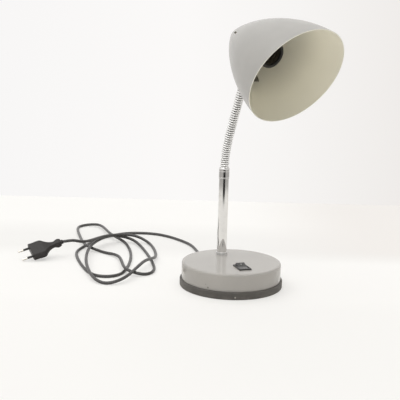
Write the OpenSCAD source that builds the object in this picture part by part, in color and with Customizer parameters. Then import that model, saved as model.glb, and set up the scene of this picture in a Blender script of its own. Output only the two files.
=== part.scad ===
// Gooseneck desk lamp: a weighted round base with a rocker switch, a chrome pole, a flexible
// two-wire coil neck and a bell shade over an E27 lamp holder, with its mains cord and plug.
// Millimetres, +Z up, the front is -Y. The origin is the centre of the base's underside.

/* [Base] */
// Outer diameter of the painted base shell
base_d = 150; // [130:1:180]
// Height of the base's top above the table
base_h = 37; // [34:0.5:48]
// Sheet thickness of the base shell
base_sheet = 1.2; // [0.8:0.1:2]
// Rounding of the base shell's top edge
base_edge_r = 3; // [2.2:0.2:5]
// How far the foot ring stands out from the shell
ring_proud = 2.6; // [1.5:0.1:4]
// Height of the foot ring
ring_h = 11.5; // [8:0.5:13]
// Thickness of the foot ring under the shell's edge
ring_floor = 3; // [2.2:0.2:5]
// Thickness of the bottom cover
cover_t = 2; // [1.6:0.1:2.8]
// Height of the iron weight
weight_h = 15; // [10:0.5:17]
// Distance from the base's edge in to the cover screws
screw_inset = 14; // [12:0.5:16]

/* [Switch] */
// Sideways place of the switch
switch_x = 2.4; // [-6:0.2:6]
// Distance from the base's front edge back to the middle of the switch
switch_inset = 36.5; // [35:0.5:41]
// Length of the switch bezel
bezel_l = 28.5; // [27:0.5:31]
// Width of the switch bezel
bezel_w = 19; // [18:0.5:22]
// Thickness of the switch bezel
bezel_t = 2; // [1.4:0.1:2.6]
// Length of the rocker
rocker_l = 22.8; // [20:0.2:23.4]
// Width of the rocker
rocker_w = 13.6; // [11:0.2:14.4]
// Tilt of the rocker to either side
rocker_tilt = 11; // [6:1:12]
// Depth of the switch housing below the base's top
switch_depth = 15; // [14:0.5:16.5]

/* [Pole] */
// Outer diameter of the pole
pole_d = 15; // [14:0.5:18]
// Wall of the pole's tube
pole_wall = 1; // [0.6:0.1:1.4]
// Distance from the base's rear edge forward to the pole
pole_inset = 32; // [29:0.5:37]
// Outer diameter of the ring at the pole's foot
foot_d = 17.8; // [17:0.2:22]
// Height of the ring at the pole's foot
foot_h = 4; // [2:0.5:8]
// Outer diameter of the collar between pole and neck
collar_d = 16.4; // [16:0.2:20]
// Height of the collar
collar_h = 16.9; // [15:0.1:22]
// Height of the collar's top above the table
collar_top = 173.4; // [150:0.1:220]
// Outer diameter of the threaded tubes
nipple_d = 10; // [9:0.2:10.6]
// Bore of the threaded tubes
nipple_bore = 6.8; // [6:0.1:7.4]

/* [Neck] */
// Length of the flexible neck from its seat in the collar to the shade
neck_len = 156; // [144:1:180]
// Outer diameter of the neck
neck_d = 14; // [13.4:0.1:14]
// Diameter of the round wire
wire_d = 2.4; // [2:0.1:2.5]
// Rise of the round wire in one turn
wire_pitch = 3; // [2.8:0.05:3.05]
// Forward bend of the whole neck at rest
neck_bend = 22.5; // [0:0.5:30]
// Turn of the neck's bend away from straight ahead
neck_swing = 12; // [-30:1:30]
// Length of the neck that is seated in the collar
neck_seat = 2.4; // [2:0.1:3]

/* [Shade] */
// Turn of the head about the neck's end
head_turn = 5.5; // [-30:0.5:30]
// Distance from the shade's nose to its full mouth
shade_len = 169; // [160:1:185]
// Radius of the shade's full mouth
shade_mouth_r = 76.8; // [72:0.2:84]
// Radius of the shade's round nose
nose_r = 16.5; // [12:0.5:20]
// Slope of the shade's side where the nose ends
nose_slope = 41; // [38:0.5:44]
// Slope of the shade's side where the two long arcs meet
waist_slope = 17.5; // [14:0.5:20]
// Sheet thickness of the shade
shade_sheet = 1.2; // [0.8:0.1:1.4]
// Tilt of the shade's mouth against its axis
mouth_tilt = 11.6; // [6:0.2:14]
// Distance from the nose to the tilted mouth
mouth_at = 143; // [135:1:147]
// Distance from the nose to the neck's seat, along the axis
seat_at = 45; // [44:0.5:50]
// Outer radius of the pressed seat for the neck
seat_r = 13; // [12.6:0.1:15]
// Distance from the nose to the middle of the vent slots
vent_at = 31; // [28:0.5:34]
// Length of a vent slot
vent_l = 14; // [6:0.5:16]
// Width of a vent slot
vent_w = 3; // [2:0.2:5]
// Number of vent slots
vent_count = 4; // [2:1:4]

/* [Lamp holder] */
// Outer diameter of the lamp holder's front
holder_d = 38.6; // [37:0.2:42]
// Distance from the shade's nose to the lamp holder's mouth
holder_mouth = 88.9; // [84:0.1:96]
// Height of the lamp holder above the shade's axis
holder_rise = 7; // [3:0.5:9]
// Inner radius of the E27 screw shell
socket_r = 13.4; // [13.3:0.05:13.6]
// Length of the E27 screw shell
socket_len = 22; // [18:0.5:24]
// Sheet thickness of the bracket
bracket_t = 1.6; // [1.2:0.1:2]
// Reach of the bracket's tongue ahead of the neck
tongue_reach = 29; // [24:0.5:34]

/* [Cord and plug] */
// Diameter of the mains cord
cord_d = 5; // [4:0.2:5.2]
// Length of the cord's strain relief outside the base
relief_len = 28; // [22:1:32]
// Width of the plug's body
plug_w = 35.3; // [33:0.1:37]
// Thickness of the plug's body
plug_t = 13.7; // [12:0.1:15]
// Length of the plug's body with its grip
plug_len = 56; // [50:1:60]
// Diameter of the plug's pins
pin_d = 4; // [3.8:0.05:4.1]
// Length of the plug's pins
pin_len = 19; // [18:0.5:20]
// Distance between the plug's pins
pin_gap = 19; // [17.5:0.1:19.5]

/* [Hidden] */
// Gaps between pieces: a seated pair, a pair that moves, and parts that only pass each other
seat_gap = 0.1;
run_gap = 0.3;
pass_gap = 0.5;

// Counts and shares of the coil neck
link_count = 12;
coil_turns = 4;
coil_steps = 12;
coil_cut = 2;
wire_sides = 6;
kinked = link_count / 2;

// Fine rounding of the turned parts
$fn = 96;

paint_color = [0.69, 0.68, 0.65];
rubber_color = [0.33, 0.31, 0.29];
chrome_color = [0.80, 0.80, 0.82];
iron_color = [0.32, 0.32, 0.33];
brass_color = [0.80, 0.68, 0.38];
black_color = [0.14, 0.13, 0.12];
cord_color = [0.30, 0.29, 0.29];
zinc_color = [0.66, 0.67, 0.68];
ceramic_color = [0.90, 0.88, 0.84];

// Base
base_r = base_d / 2;
ring_r = base_r + ring_proud;
shell_z = ring_floor;
inner_top = base_h - base_sheet;
groove_wall = 1.6;
ring_inner_r = base_r - base_sheet - 2 * seat_gap - groove_wall - 1.6;
cover_r = ring_inner_r - seat_gap;
weight_r = ring_inner_r - 1;
weight_top = cover_t + weight_h;
post_d = 8;
screw_d = 4;
screw_head_d = 7.6;
screw_angles = [30, 150, 270];
screw_ring_r = base_r - screw_inset;

// Switch
switch_y = switch_inset - base_r;
housing_l = bezel_l - 2.2;
housing_w = bezel_w - 2.2;
housing_z = base_h - switch_depth;
rocker_r = rocker_l / 2;
rocker_open_l = rocker_l + 2 * run_gap;
rocker_open_w = rocker_w + 2 * run_gap;
rocker_axis_z = base_h - 1;
rocker_deep = 6;
rocker_crown = 4.6;
rocker_valley = 2.4;
rocker_pin_r = 1.2;
rocker_pin_l = 1;
cavity_deep = rocker_deep + 1.8;
tab_l = 8;
tab_w = 4.8;
tab_t = 0.8;
tab_y = 6;

// Pole and collar
pole_y = base_r - pole_inset;
pole_r = pole_d / 2;
collar_r = collar_d / 2;
collar_z = collar_top - collar_h;
neck_z = collar_top - neck_seat;
collar_floor = neck_z - 3.6;
pole_top = collar_floor - 1.4;
bush_h = 15;
nut_h = 5;
nut_af = 14;
washer_t = 1;
nipple_low = inner_top - washer_t - nut_h - 4;

// Neck: hinges sit in the middle of each equal stretch, and the bend fades out half way up
link_len = neck_len / link_count;
coil_r = neck_d / 2 - wire_d / 2;
coil_run = wire_pitch * (coil_turns - coil_cut / coil_steps);
coil_end = (link_len - coil_run) / 2;
wedge_tip_r = coil_r - 0.1;
wedge_root_r = coil_r - 2.3;
wedge_half = 1.15;
lead_r = 2.5;
lead_end = 0.4;
function rest_turn(i) = i < kinked ? 2 * neck_bend * (1 - (i + 0.5) / kinked) / kinked : 0;
function lean(k) = k == 0 ? 0 : lean(k - 1) + rest_turn(k - 1);
function along(a) = [sin(a), cos(a)];
function hinge_at(k) = k == 0 ? [0, link_len / 2] : hinge_at(k - 1) + link_len * along(lean(k));
neck_end = hinge_at(link_count - 1) + link_len / 2 * along(neck_bend);

// Shade: three tangent arcs, from the round nose to the full mouth, and a flat pressed seat
arc_fall = [sin(nose_slope) - sin(waist_slope), cos(waist_slope) - cos(nose_slope)];
arc_rest = [sin(waist_slope), 1 - cos(waist_slope)];
arc_goal = [shade_len - nose_r * (1 - sin(nose_slope)), shade_mouth_r - nose_r * cos(nose_slope)];
arc_det = arc_fall[0] * arc_rest[1] - arc_rest[0] * arc_fall[1];
back_arc = (arc_goal[0] * arc_rest[1] - arc_rest[0] * arc_goal[1]) / arc_det;
front_arc = (arc_fall[0] * arc_goal[1] - arc_fall[1] * arc_goal[0]) / arc_det;
nose_end = nose_r * (1 - sin(nose_slope));
back_mid = [(nose_r - back_arc) * cos(nose_slope), nose_end + back_arc * sin(nose_slope)];
front_mid = [shade_mouth_r - front_arc, shade_len];
waist_at = shade_len - front_arc * sin(waist_slope);
nose_bands = 5;
back_bands = 10;
front_bands = 8;
back_from = nose_slope - (nose_slope - waist_slope) / back_bands;
front_from = waist_slope * (1 - 1 / front_bands);
function arc_radius(s, mid, r) = mid[0] + sqrt(r * r - (s - mid[1]) * (s - mid[1]));
function shade_radius(s) =
    s < waist_at ? arc_radius(s, back_mid, back_arc) : arc_radius(s, front_mid, front_arc);
seat_drop = shade_radius(seat_at);
vent_turn = 58;

// Neck fitting, bracket and lamp holder
ferrule_r = neck_d / 2 + 1.1;
ferrule_h = 5;
ferrule_top = 2;
small_nut_af = 13;
small_nut_h = 5;
spigot_top = shade_sheet + bracket_t + small_nut_h + 3.6;
tongue_r = seat_r - shade_sheet - 1.4;
tongue_half = tongue_r + 0.6;
tongue_front = [-11, 2];
tongue_clip = 18;
leg_y = small_nut_af / 2 + run_gap;
leg_half = 7;
holder_z = seat_drop + holder_rise;
leg_head_r = 10;
holder_r = holder_d / 2;
cap_at = seat_at - leg_y;
cap_len = 19;
body_at = cap_at + cap_len;
body_len = holder_mouth - body_at;
holder_wall = 1.8;
mouth_band = 5;
shell_end = holder_mouth - 2.9;
core_face = shell_end - socket_len;
shell_wall = 0.5;
core_r = socket_r + shell_wall + 0.7;
core_t = 5.4;
recess_deep = 1.5;
rear_tube_out = 4.4;

// Cord entry, clamp and inner leads
entry_z = weight_top + lead_r + pass_gap;
entry_r = 4.5;
wall_y = sqrt(base_r * base_r - entry_r * entry_r);
relief_root_r = cord_d / 2 + 2.2;
relief_tip_r = cord_d / 2 + 0.9;
relief_flange_r = entry_r + 1.8;
relief_end = base_r + 2 + relief_len;
clamp_y = pole_y + 16;
clamp_w = 9;
sheath_end = pole_y + 8;
core_wire_r = 1;
tube_sides = 10;
wire_tube_sides = 6;

// Route of the free cord along its middle line, from the strain relief to the plug
cord_route = [
    [0, 124, 17.5], [8, 172, 4], [12, 249, 2.7], [-18, 325, 2.5], [-72, 350, 2.5],
    [-127, 325, 2.5], [-168, 276, 2.5], [-195, 222, 2.5], [-198, 118, 2.5], [-180, 81, 2.5],
    [-146, 93, 2.5], [-111, 179, 2.7], [-97, 272, 2.9], [-111, 329, 7.8], [-115, 420, 5.1],
    [-153, 422, 2.5], [-168, 330, 5.3], [-171, 256, 8.1], [-150, 227, 2.6], [-132, 182, 5.3],
    [-140, 95, 8.1], [-115, 76, 2.9], [-91, 106, 2.9], [-77, 218, 2.8], [-84, 286, 7.1],
    [-121, 293, 13.3], [-164, 243, 11.9], [-191, 158, 10], [-198, 75, 6.3], [-183, 45, 2.5],
    [-152, 51, 7.8], [-106, 113, 13.1], [-70, 172, 4.5], [-56, 259, 3.1], [-79, 290, 12.6],
    [-127, 282, 16.8], [-176, 233, 21],
];
plug_at = [-272, 213.5, 12.3];
plug_turn = [106, 30, -74];
plug_axis = [
    cos(plug_turn[2]) * sin(plug_turn[1]) * cos(plug_turn[0]) + sin(plug_turn[2]) * sin(plug_turn[0]),
    sin(plug_turn[2]) * sin(plug_turn[1]) * cos(plug_turn[0]) - cos(plug_turn[2]) * sin(plug_turn[0]),
    cos(plug_turn[1]) * cos(plug_turn[0]),
];
block_len = 20;
waist_r = 5;
grip_r = 7.4;
tail_r = cord_d / 2 + 1.2;
sleeve_len = 10;
pin_core_r = pin_d / 2 - 0.5;
pin_root = 8;

function link_name(i) = str("neck_link_", i < 10 ? "0" : "", i);

// ---------------------------------------------------------------- shared shapes

// Closed tube of the given radius along a list of points, with its rings square to the route.
module tube_along(path, radius, sides) {
    last = len(path) - 1;
    function unit(v) = v / norm(v);
    function heading(i) = unit(path[min(i + 1, last)] - path[max(i - 1, 0)]);
    function across(t) = unit(cross(t, abs(t[2]) < 0.8 ? [0, 0, 1] : [0, 1, 0]));
    // each ring's first direction is the last ring's, made square to the new heading
    function turned(u, t) = unit(u - t * (u * t));
    function frames(i, u, out) =
        i > last ? out
        : let (t = heading(i), v = i == 0 ? across(t) : turned(u, t))
            frames(i + 1, v, concat(out, [[v, cross(t, v)]]));
    frame_list = frames(0, [1, 0, 0], []);
    rings = [
        for (i = [0 : last], k = [0 : sides - 1])
            path[i] + radius * (cos(360 * k / sides) * frame_list[i][0] +
                                sin(360 * k / sides) * frame_list[i][1])
    ];
    skin = [
        for (i = [0 : last - 1], k = [0 : sides - 1])
            let (n = (k + 1) % sides, a = i * sides, b = a + sides) [a + k, b + k, b + n, a + n]
    ];
    caps = [[for (k = [0 : sides - 1]) k], [for (k = [sides - 1 : -1 : 0]) last * sides + k]];
    polyhedron(rings, concat(skin, caps));
}

// Point at the share t of the span from p1 to p2 of a smooth route through p0, p1, p2 and p3.
function route_point(p0, p1, p2, p3, t) =
    0.5 * (2 * p1 + (p2 - p0) * t + (2 * p0 - 5 * p1 + 4 * p2 - p3) * t * t +
           (3 * p1 - p0 - 3 * p2 + p3) * t * t * t);

// Smooth route through all the points, with the given number of steps in each span.
function smooth_route(pts, steps) =
    let (n = len(pts) - 1)
    concat([for (i = [0 : n - 1], j = [0 : steps - 1])
        route_point(pts[max(i - 1, 0)], pts[i], pts[i + 1], pts[min(i + 2, n)], j / steps)], [pts[n]]);

// Helical wire: a section polygon of [radius, height] points carried up a helix.
module helix_wire(section, z0, steps, turn0) {
    sides = len(section);
    points = [
        for (i = [0 : steps], p = section)
            let (a = turn0 + 360 * i / coil_steps)
                [p[0] * cos(a), p[0] * sin(a), z0 + wire_pitch * i / coil_steps + p[1]]
    ];
    skin = [
        for (i = [0 : steps - 1], k = [0 : sides - 1])
            let (n = (k + 1) % sides, a = i * sides, b = a + sides) [a + k, a + n, b + n, b + k]
    ];
    caps = [[for (k = [sides - 1 : -1 : 0]) k], [for (k = [0 : sides - 1]) steps * sides + k]];
    polyhedron(points, concat(skin, caps));
}

// Solid disc outline of radius r and height h with a rounded upper edge, for a revolve.
module rounded_rim(r, h, edge) {
    square([r - edge, h]);
    square([r, h - edge]);
    translate([r - edge, h - edge]) circle(edge);
}

// Hexagon nut outline of the given width across flats, with a flat facing +Y, less its bore.
module nut_outline(across_flats, bore_d) {
    difference() {
        circle(across_flats / 2 / cos(30), $fn = 6);
        circle(d = bore_d);
    }
}

module ring_solid(outer_r, inner_r, h) {
    difference() {
        cylinder(r = outer_r, h = h);
        translate([0, 0, -1]) cylinder(r = inner_r, h = h + 2);
    }
}

// ---------------------------------------------------------------- places

module at_switch() translate([switch_x, switch_y, 0]) children();

module at_pole() translate([0, pole_y, 0]) children();

// Foot of the neck, with -Y along its forward bend
module at_neck() translate([0, pole_y, neck_z]) rotate([0, 0, neck_swing]) children();

// Hinge k of the neck, with +Z along the stretch that follows it
module at_hinge(k)
    at_neck() translate([0, -hinge_at(k)[0], hinge_at(k)[1]]) rotate([lean(k + 1), 0, 0]) children();

// Centre of the neck's end, with +Z out of the neck and -Y along the shade's axis
module at_head()
    at_neck() translate([0, -neck_end[0], neck_end[1]])
        rotate([neck_bend, 0, 0]) rotate([0, 0, head_turn]) children();

// Nose of the shade, with +Z along its axis to the mouth and +Y up
module at_shade() at_head() translate([0, seat_at, seat_drop]) rotate([90, 0, 0]) children();

module at_holder() at_shade() translate([0, holder_rise, 0]) children();

module at_plug() translate(plug_at) rotate(plug_turn) children();

// ---------------------------------------------------------------- base

module base_shell() {
    color(paint_color) difference() {
        translate([0, 0, shell_z]) rotate_extrude() difference() {
            rounded_rim(base_r, base_h - shell_z, base_edge_r);
            translate([0, -1])
                rounded_rim(base_r - base_sheet, inner_top - shell_z + 1, base_edge_r - base_sheet);
        }
        at_switch() translate([0, 0, base_h - 2]) linear_extrude(4)
            square([housing_w + 2 * seat_gap, housing_l + 2 * seat_gap], center = true);
        at_pole() translate([0, 0, base_h - 4]) cylinder(r = nipple_d / 2 + seat_gap, h = 8);
        translate([0, base_r - 8, entry_z]) rotate([-90, 0, 0]) cylinder(r = entry_r, h = 12);
    }
}

// U-shaped plastic ring that the shell's edge stands in
module foot_ring() {
    lip = 0.8;
    groove_out = base_r + seat_gap;
    groove_in = base_r - base_sheet - seat_gap;
    color(rubber_color) rotate_extrude() polygon([
        [ring_inner_r, 0], [ring_r - 1, 0], [ring_r, 1], [ring_r, ring_h - 1.2], [ring_r - lip, ring_h],
        [groove_out, ring_h], [groove_out, ring_floor], [groove_in, ring_floor],
        [groove_in, ring_floor + 4], [groove_in - groove_wall, ring_floor + 4],
        [groove_in - groove_wall, cover_t], [ring_inner_r, cover_t],
    ]);
}

module screw_places() for (a = screw_angles) rotate(a) translate([screw_ring_r, 0]) children();

module bottom_cover() {
    color(iron_color) difference() {
        cylinder(r = cover_r, h = cover_t);
        screw_places() {
            translate([0, 0, -1]) cylinder(r = screw_d / 2 + seat_gap, h = cover_t + 2);
            translate([0, 0, -0.01])
                cylinder(r1 = screw_head_d / 2 + 0.2, r2 = screw_d / 2 + seat_gap, h = cover_t);
        }
    }
}

module cover_screws() {
    head_h = cover_t - 0.3;
    color(zinc_color) screw_places() translate([0, 0, 0.2]) {
        cylinder(r1 = screw_head_d / 2, r2 = screw_d / 2, h = head_h);
        cylinder(r = screw_d / 2, h = inner_top - 6);
    }
}

module spacer_posts() {
    color(zinc_color) screw_places() translate([0, 0, weight_top])
        ring_solid(post_d / 2, screw_d / 2, inner_top - weight_top);
}

module base_weight() {
    color(iron_color) difference() {
        translate([0, 0, cover_t]) cylinder(r = weight_r, h = weight_h);
        screw_places() cylinder(r = screw_d / 2 + 0.3, h = weight_top + 1);
        at_switch() translate([0, 0, weight_top / 2])
            cube([housing_w + 8, housing_l + 5, weight_top + 2], center = true);
    }
}

// ---------------------------------------------------------------- switch

// Side view of the rocker about its axis: a shallow V top and round ends that clear the bezel.
module rocker_outline() {
    reach = rocker_r + 1;
    intersection() {
        polygon([
            [-reach, rocker_crown], [0, rocker_valley], [reach, rocker_crown], [reach, -2.4],
            [3.6, -rocker_deep], [-3.6, -rocker_deep], [-reach, -2.4],
        ]);
        circle(rocker_r);
    }
}

module switch_rocker() {
    color(black_color) at_switch() translate([0, 0, rocker_axis_z]) rotate([rocker_tilt, 0, 0]) {
        rotate([90, 0, 90]) linear_extrude(rocker_w, center = true) rocker_outline();
        rotate([0, 90, 0]) cylinder(r = rocker_pin_r, h = rocker_w + 2 * rocker_pin_l, center = true);
    }
}

module switch_housing() {
    bevel = 0.7;
    color(black_color) at_switch() difference() {
        union() {
            hull() {
                translate([0, 0, base_h + (bezel_t - bevel) / 2])
                    cube([bezel_w, bezel_l, bezel_t - bevel], center = true);
                translate([0, 0, base_h + bezel_t / 2])
                    cube([bezel_w - 2 * bevel, bezel_l - 2 * bevel, bezel_t], center = true);
            }
            translate([0, 0, housing_z + switch_depth / 2])
                cube([housing_w, housing_l, switch_depth], center = true);
        }
        translate([0, 0, rocker_axis_z - cavity_deep + 10])
            cube([rocker_open_w, rocker_open_l, 20], center = true);
        translate([0, 0, rocker_axis_z]) rotate([0, 90, 0])
            cylinder(r = rocker_pin_r + seat_gap, h = rocker_w + 2 * rocker_pin_l + 0.3, center = true);
    }
}

module switch_tabs() {
    color(brass_color) at_switch() for (y = [-tab_y, tab_y])
        translate([0, y, housing_z - tab_l / 2]) cube([tab_t, tab_w, tab_l], center = true);
}

// ---------------------------------------------------------------- pole and collar

module pole_tube() {
    color(chrome_color) at_pole() translate([0, 0, base_h])
        ring_solid(pole_r, pole_r - pole_wall, pole_top - base_h);
}

module pole_foot() {
    round_r = 0.9;
    color(chrome_color) at_pole() translate([0, 0, base_h]) difference() {
        rotate_extrude() rounded_rim(foot_d / 2, foot_h, round_r);
        translate([0, 0, -1]) cylinder(r = pole_r + seat_gap / 2, h = foot_h + 2);
    }
}

module pole_bush() {
    color(brass_color) at_pole() translate([0, 0, base_h])
        ring_solid(pole_r - pole_wall, nipple_d / 2, bush_h);
}

module base_nipple() {
    color(brass_color) at_pole() translate([0, 0, nipple_low])
        ring_solid(nipple_d / 2, nipple_bore / 2, base_h + bush_h - 1 - nipple_low);
}

module base_nut() {
    color(brass_color) at_pole() translate([0, 0, inner_top - washer_t - nut_h])
        linear_extrude(nut_h) nut_outline(nut_af, nipple_d);
}

module base_washer() {
    color(zinc_color) at_pole() translate([0, 0, inner_top - washer_t])
        ring_solid(nut_af / 2 + 2, nipple_d / 2 + seat_gap, washer_t);
}

// Turned collar: slips over the pole, stops on its end and holds the foot of the neck.
module collar() {
    groove = 0.45;
    groove_h = 1;
    crown_r = 1.4;
    low_groove = 1.4;
    high_groove = collar_h - 5.6;
    lead_hole = lead_r + 0.5;
    color(chrome_color) at_pole() translate([0, 0, collar_z]) difference() {
        rotate_extrude() rounded_rim(collar_r, collar_h, crown_r);
        translate([0, 0, -1]) cylinder(r = pole_r + seat_gap / 2, h = pole_top - collar_z + 1);
        cylinder(r = lead_hole, h = collar_h);
        translate([0, 0, collar_floor - collar_z]) cylinder(r = neck_d / 2 + seat_gap, h = collar_h);
        for (z = [low_groove, high_groove]) translate([0, 0, z])
            ring_solid(collar_r + 1, collar_r - groove, groove_h);
    }
}

// ---------------------------------------------------------------- neck

// Round outer wire and the wedge wire that fills between its turns, from a height up.
module coil_pair(z0, steps, turn0) {
    round_section = [
        for (k = [0 : wire_sides - 1])
            [coil_r + wire_d / 2 * cos(360 * k / wire_sides), wire_d / 2 * sin(360 * k / wire_sides)]
    ];
    wedge_section = [[wedge_tip_r, 0], [wedge_root_r, wedge_half], [wedge_root_r, -wedge_half]];
    helix_wire(round_section, z0, steps, turn0);
    if (steps > coil_steps)
        helix_wire(wedge_section, z0 + wire_pitch / 2, steps - coil_steps, turn0);
}

// First stretch: from the collar's floor up to the first hinge
module neck_root() {
    top = link_len / 2 - coil_end;
    room = top + neck_z - collar_floor - wire_d / 2 - seat_gap;
    steps = floor(room * coil_steps / wire_pitch);
    color(chrome_color) at_neck()
        coil_pair(top - wire_pitch * steps / coil_steps, steps, -360 * (coil_cut + steps) / coil_steps);
}

// Stretch i, between hinge i - 1 and hinge i, with its piece of the lead
module neck_link(i) {
    steps = coil_turns * coil_steps - coil_cut;
    color(chrome_color) at_hinge(i - 1) {
        coil_pair(coil_end, steps, 0);
        translate([0, 0, lead_end]) cylinder(r = lead_r, h = link_len - 2 * lead_end);
    }
}

// Last stretch: from the last hinge up into the ferrule
module neck_tip() {
    room = link_len / 2 - coil_end - ferrule_top - wire_d / 2 - seat_gap;
    steps = floor(room * coil_steps / wire_pitch);
    color(chrome_color) at_hinge(link_count - 1) coil_pair(coil_end, steps, 0);
}

// ---------------------------------------------------------------- head

// Ferrule on the neck's end with its threaded spigot through the shade and the bracket
module neck_ferrule() {
    color(zinc_color) at_head() difference() {
        union() {
            translate([0, 0, -ferrule_h]) cylinder(r = ferrule_r, h = ferrule_h);
            cylinder(r = nipple_d / 2, h = spigot_top);
        }
        translate([0, 0, -ferrule_h - 1])
            cylinder(r = neck_d / 2 + seat_gap, h = ferrule_h - ferrule_top + 1);
        translate([0, 0, -ferrule_h]) cylinder(r = nipple_bore / 2, h = ferrule_h + spigot_top + 1);
    }
}

module neck_nut() {
    color(brass_color) at_head() translate([0, 0, shade_sheet + bracket_t])
        linear_extrude(small_nut_h) nut_outline(small_nut_af, nipple_d);
}

// Points of an arc whose outward normal turns from one slope angle to another
function arc_points(mid, r, from, to, bands) = [
    for (i = [0 : bands]) let (a = from + (to - from) * i / bands)
        [mid[0] + r * cos(a), mid[1] - r * sin(a)]
];

// Half outline of the shade's dome, the given distance inside its outer face
module dome_outline(inset) {
    polygon(concat(
        arc_points([0, nose_r], nose_r - inset, 90, nose_slope, nose_bands),
        arc_points(back_mid, back_arc - inset, back_from, waist_slope, back_bands - 1),
        arc_points(front_mid, front_arc - inset, front_from, 0, front_bands - 1),
        [[0, shade_len]]
    ));
}

module dome_solid(inset) rotate_extrude($fn = 180) dome_outline(inset);

// Frame change from the shade's nose to the neck's seat, the reverse of at_shade's last step
module seat_in_shade() rotate([-90, 0, 0]) translate([0, -seat_at, -seat_drop]) children();

// Meridional slot with round ends, cut through the dome's side from inside the nose
module vent_slot() {
    straight = vent_l - vent_w;
    translate([nose_r / 2, 0, vent_at]) rotate([0, 90, 0]) linear_extrude(shade_mouth_r) {
        square([straight, vent_w], center = true);
        for (x = [-straight / 2, straight / 2]) translate([x, 0]) circle(vent_w / 2);
    }
}

// Spun bell with a tilted mouth, vent slots round the nose and a flat pressed seat for the neck
module shade() {
    deep = 16;
    pocket_r = seat_r - shade_sheet;
    cut = 3 * shade_mouth_r;
    mouth_point = mouth_at * [0, -sin(mouth_tilt), cos(mouth_tilt)];
    color(paint_color) at_shade() {
        difference() {
            rotate_extrude($fn = 180) difference() {
                dome_outline(0);
                dome_outline(shade_sheet);
            }
            translate(mouth_point) rotate([mouth_tilt, 0, 0]) translate([-cut / 2, -cut / 2, 0]) cube(cut);
            seat_in_shade() translate([0, 0, -deep]) cylinder(r = pocket_r, h = 2 * deep);
            for (k = [0 : vent_count - 1]) rotate(vent_turn + 360 * k / vent_count) vent_slot();
        }
        // wall of the seat where it lies inside the dome, and where it stands out of it
        intersection() {
            dome_solid(0);
            seat_in_shade() translate([0, 0, -deep]) ring_solid(seat_r, pocket_r, deep + shade_sheet);
        }
        difference() {
            seat_in_shade() ring_solid(seat_r, pocket_r, deep);
            dome_solid(shade_sheet);
        }
        seat_in_shade() ring_solid(pocket_r, nipple_d / 2 + seat_gap, shade_sheet);
    }
}

// L-shaped strap: its tongue is clamped on the neck's seat and its leg carries the lamp holder
module bracket() {
    color(zinc_color) at_head() {
        translate([0, 0, shade_sheet]) linear_extrude(bracket_t) difference() {
            union() {
                intersection() {
                    circle(tongue_r);
                    translate([-tongue_r, -tongue_r]) square([2 * tongue_r, tongue_r + leg_y + bracket_t]);
                }
                polygon([
                    [tongue_r, 0], [tongue_half, -6], [tongue_half, tongue_clip - tongue_reach],
                    [tongue_front[1], -tongue_reach], [tongue_front[0], -tongue_reach],
                    [-tongue_half, -6], [-tongue_r, 0],
                ]);
            }
            circle(nipple_d / 2 + seat_gap);
        }
        translate([0, leg_y + bracket_t, 0]) rotate([90, 0, 0]) linear_extrude(bracket_t) difference() {
            union() {
                translate([-leg_half, shade_sheet]) square([2 * leg_half, holder_z - shade_sheet]);
                translate([0, holder_z]) circle(leg_head_r);
            }
            translate([0, holder_z]) circle(nipple_d / 2 + seat_gap);
        }
    }
}

module holder_nipple() {
    color(brass_color) at_holder() translate([0, 0, cap_at - bracket_t - rear_tube_out])
        ring_solid(nipple_d / 2, nipple_bore / 2, bracket_t + rear_tube_out + 6);
}

module holder_nut() {
    nut_t = rear_tube_out - 0.6;
    color(brass_color) at_holder() translate([0, 0, cap_at - bracket_t - nut_t])
        linear_extrude(nut_t) nut_outline(small_nut_af, nipple_d);
}

// Domed rear half of the lamp holder
module holder_cap() {
    shoulder = 7;
    color(black_color) at_holder() translate([0, 0, cap_at]) rotate_extrude() difference() {
        union() {
            square([holder_r - 1 - shoulder, cap_len]);
            translate([0, shoulder]) square([holder_r - 1, cap_len - shoulder]);
            translate([holder_r - 1 - shoulder, shoulder]) circle(shoulder);
        }
        square([nipple_d / 2, cap_len]);
        translate([0, 6]) square([holder_r - 1 - holder_wall - 4, cap_len]);
        translate([0, shoulder + 3]) square([holder_r - 1 - holder_wall, cap_len]);
    }
}

// Front half of the lamp holder with its wider band at the mouth
module holder_body() {
    bore_r = core_r + seat_gap;
    color(black_color) at_holder() translate([0, 0, body_at]) rotate_extrude() polygon([
        [bore_r, 0], [holder_r - 1, 0], [holder_r - 1, body_len - mouth_band - 1],
        [holder_r, body_len - mouth_band], [holder_r, body_len - 0.8], [holder_r - 0.8, body_len],
        [bore_r + 0.6, body_len], [bore_r, body_len - 0.6],
    ]);
}

// Ceramic core behind the screw shell, with a recess for the centre contact
module holder_core() {
    color(ceramic_color) at_holder() difference() {
        translate([0, 0, core_face - core_t]) cylinder(r = core_r, h = core_t);
        translate([0, 0, core_face - recess_deep]) cylinder(r = 6, h = recess_deep + 1);
    }
}

module socket_shell() {
    color(brass_color) at_holder() translate([0, 0, core_face]) {
        ring_solid(socket_r + shell_wall, socket_r, socket_len);
        ring_solid(core_r, socket_r + shell_wall, shell_wall);
    }
}

module centre_contact() {
    color(brass_color) at_holder() translate([0, 0, core_face - recess_deep]) {
        translate([-1.6, -5.6, 0]) cube([3.2, 8.8, 0.5]);
        translate([0, 0, 0.5]) cylinder(r = 2.6, h = recess_deep - 0.7);
    }
}

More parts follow.
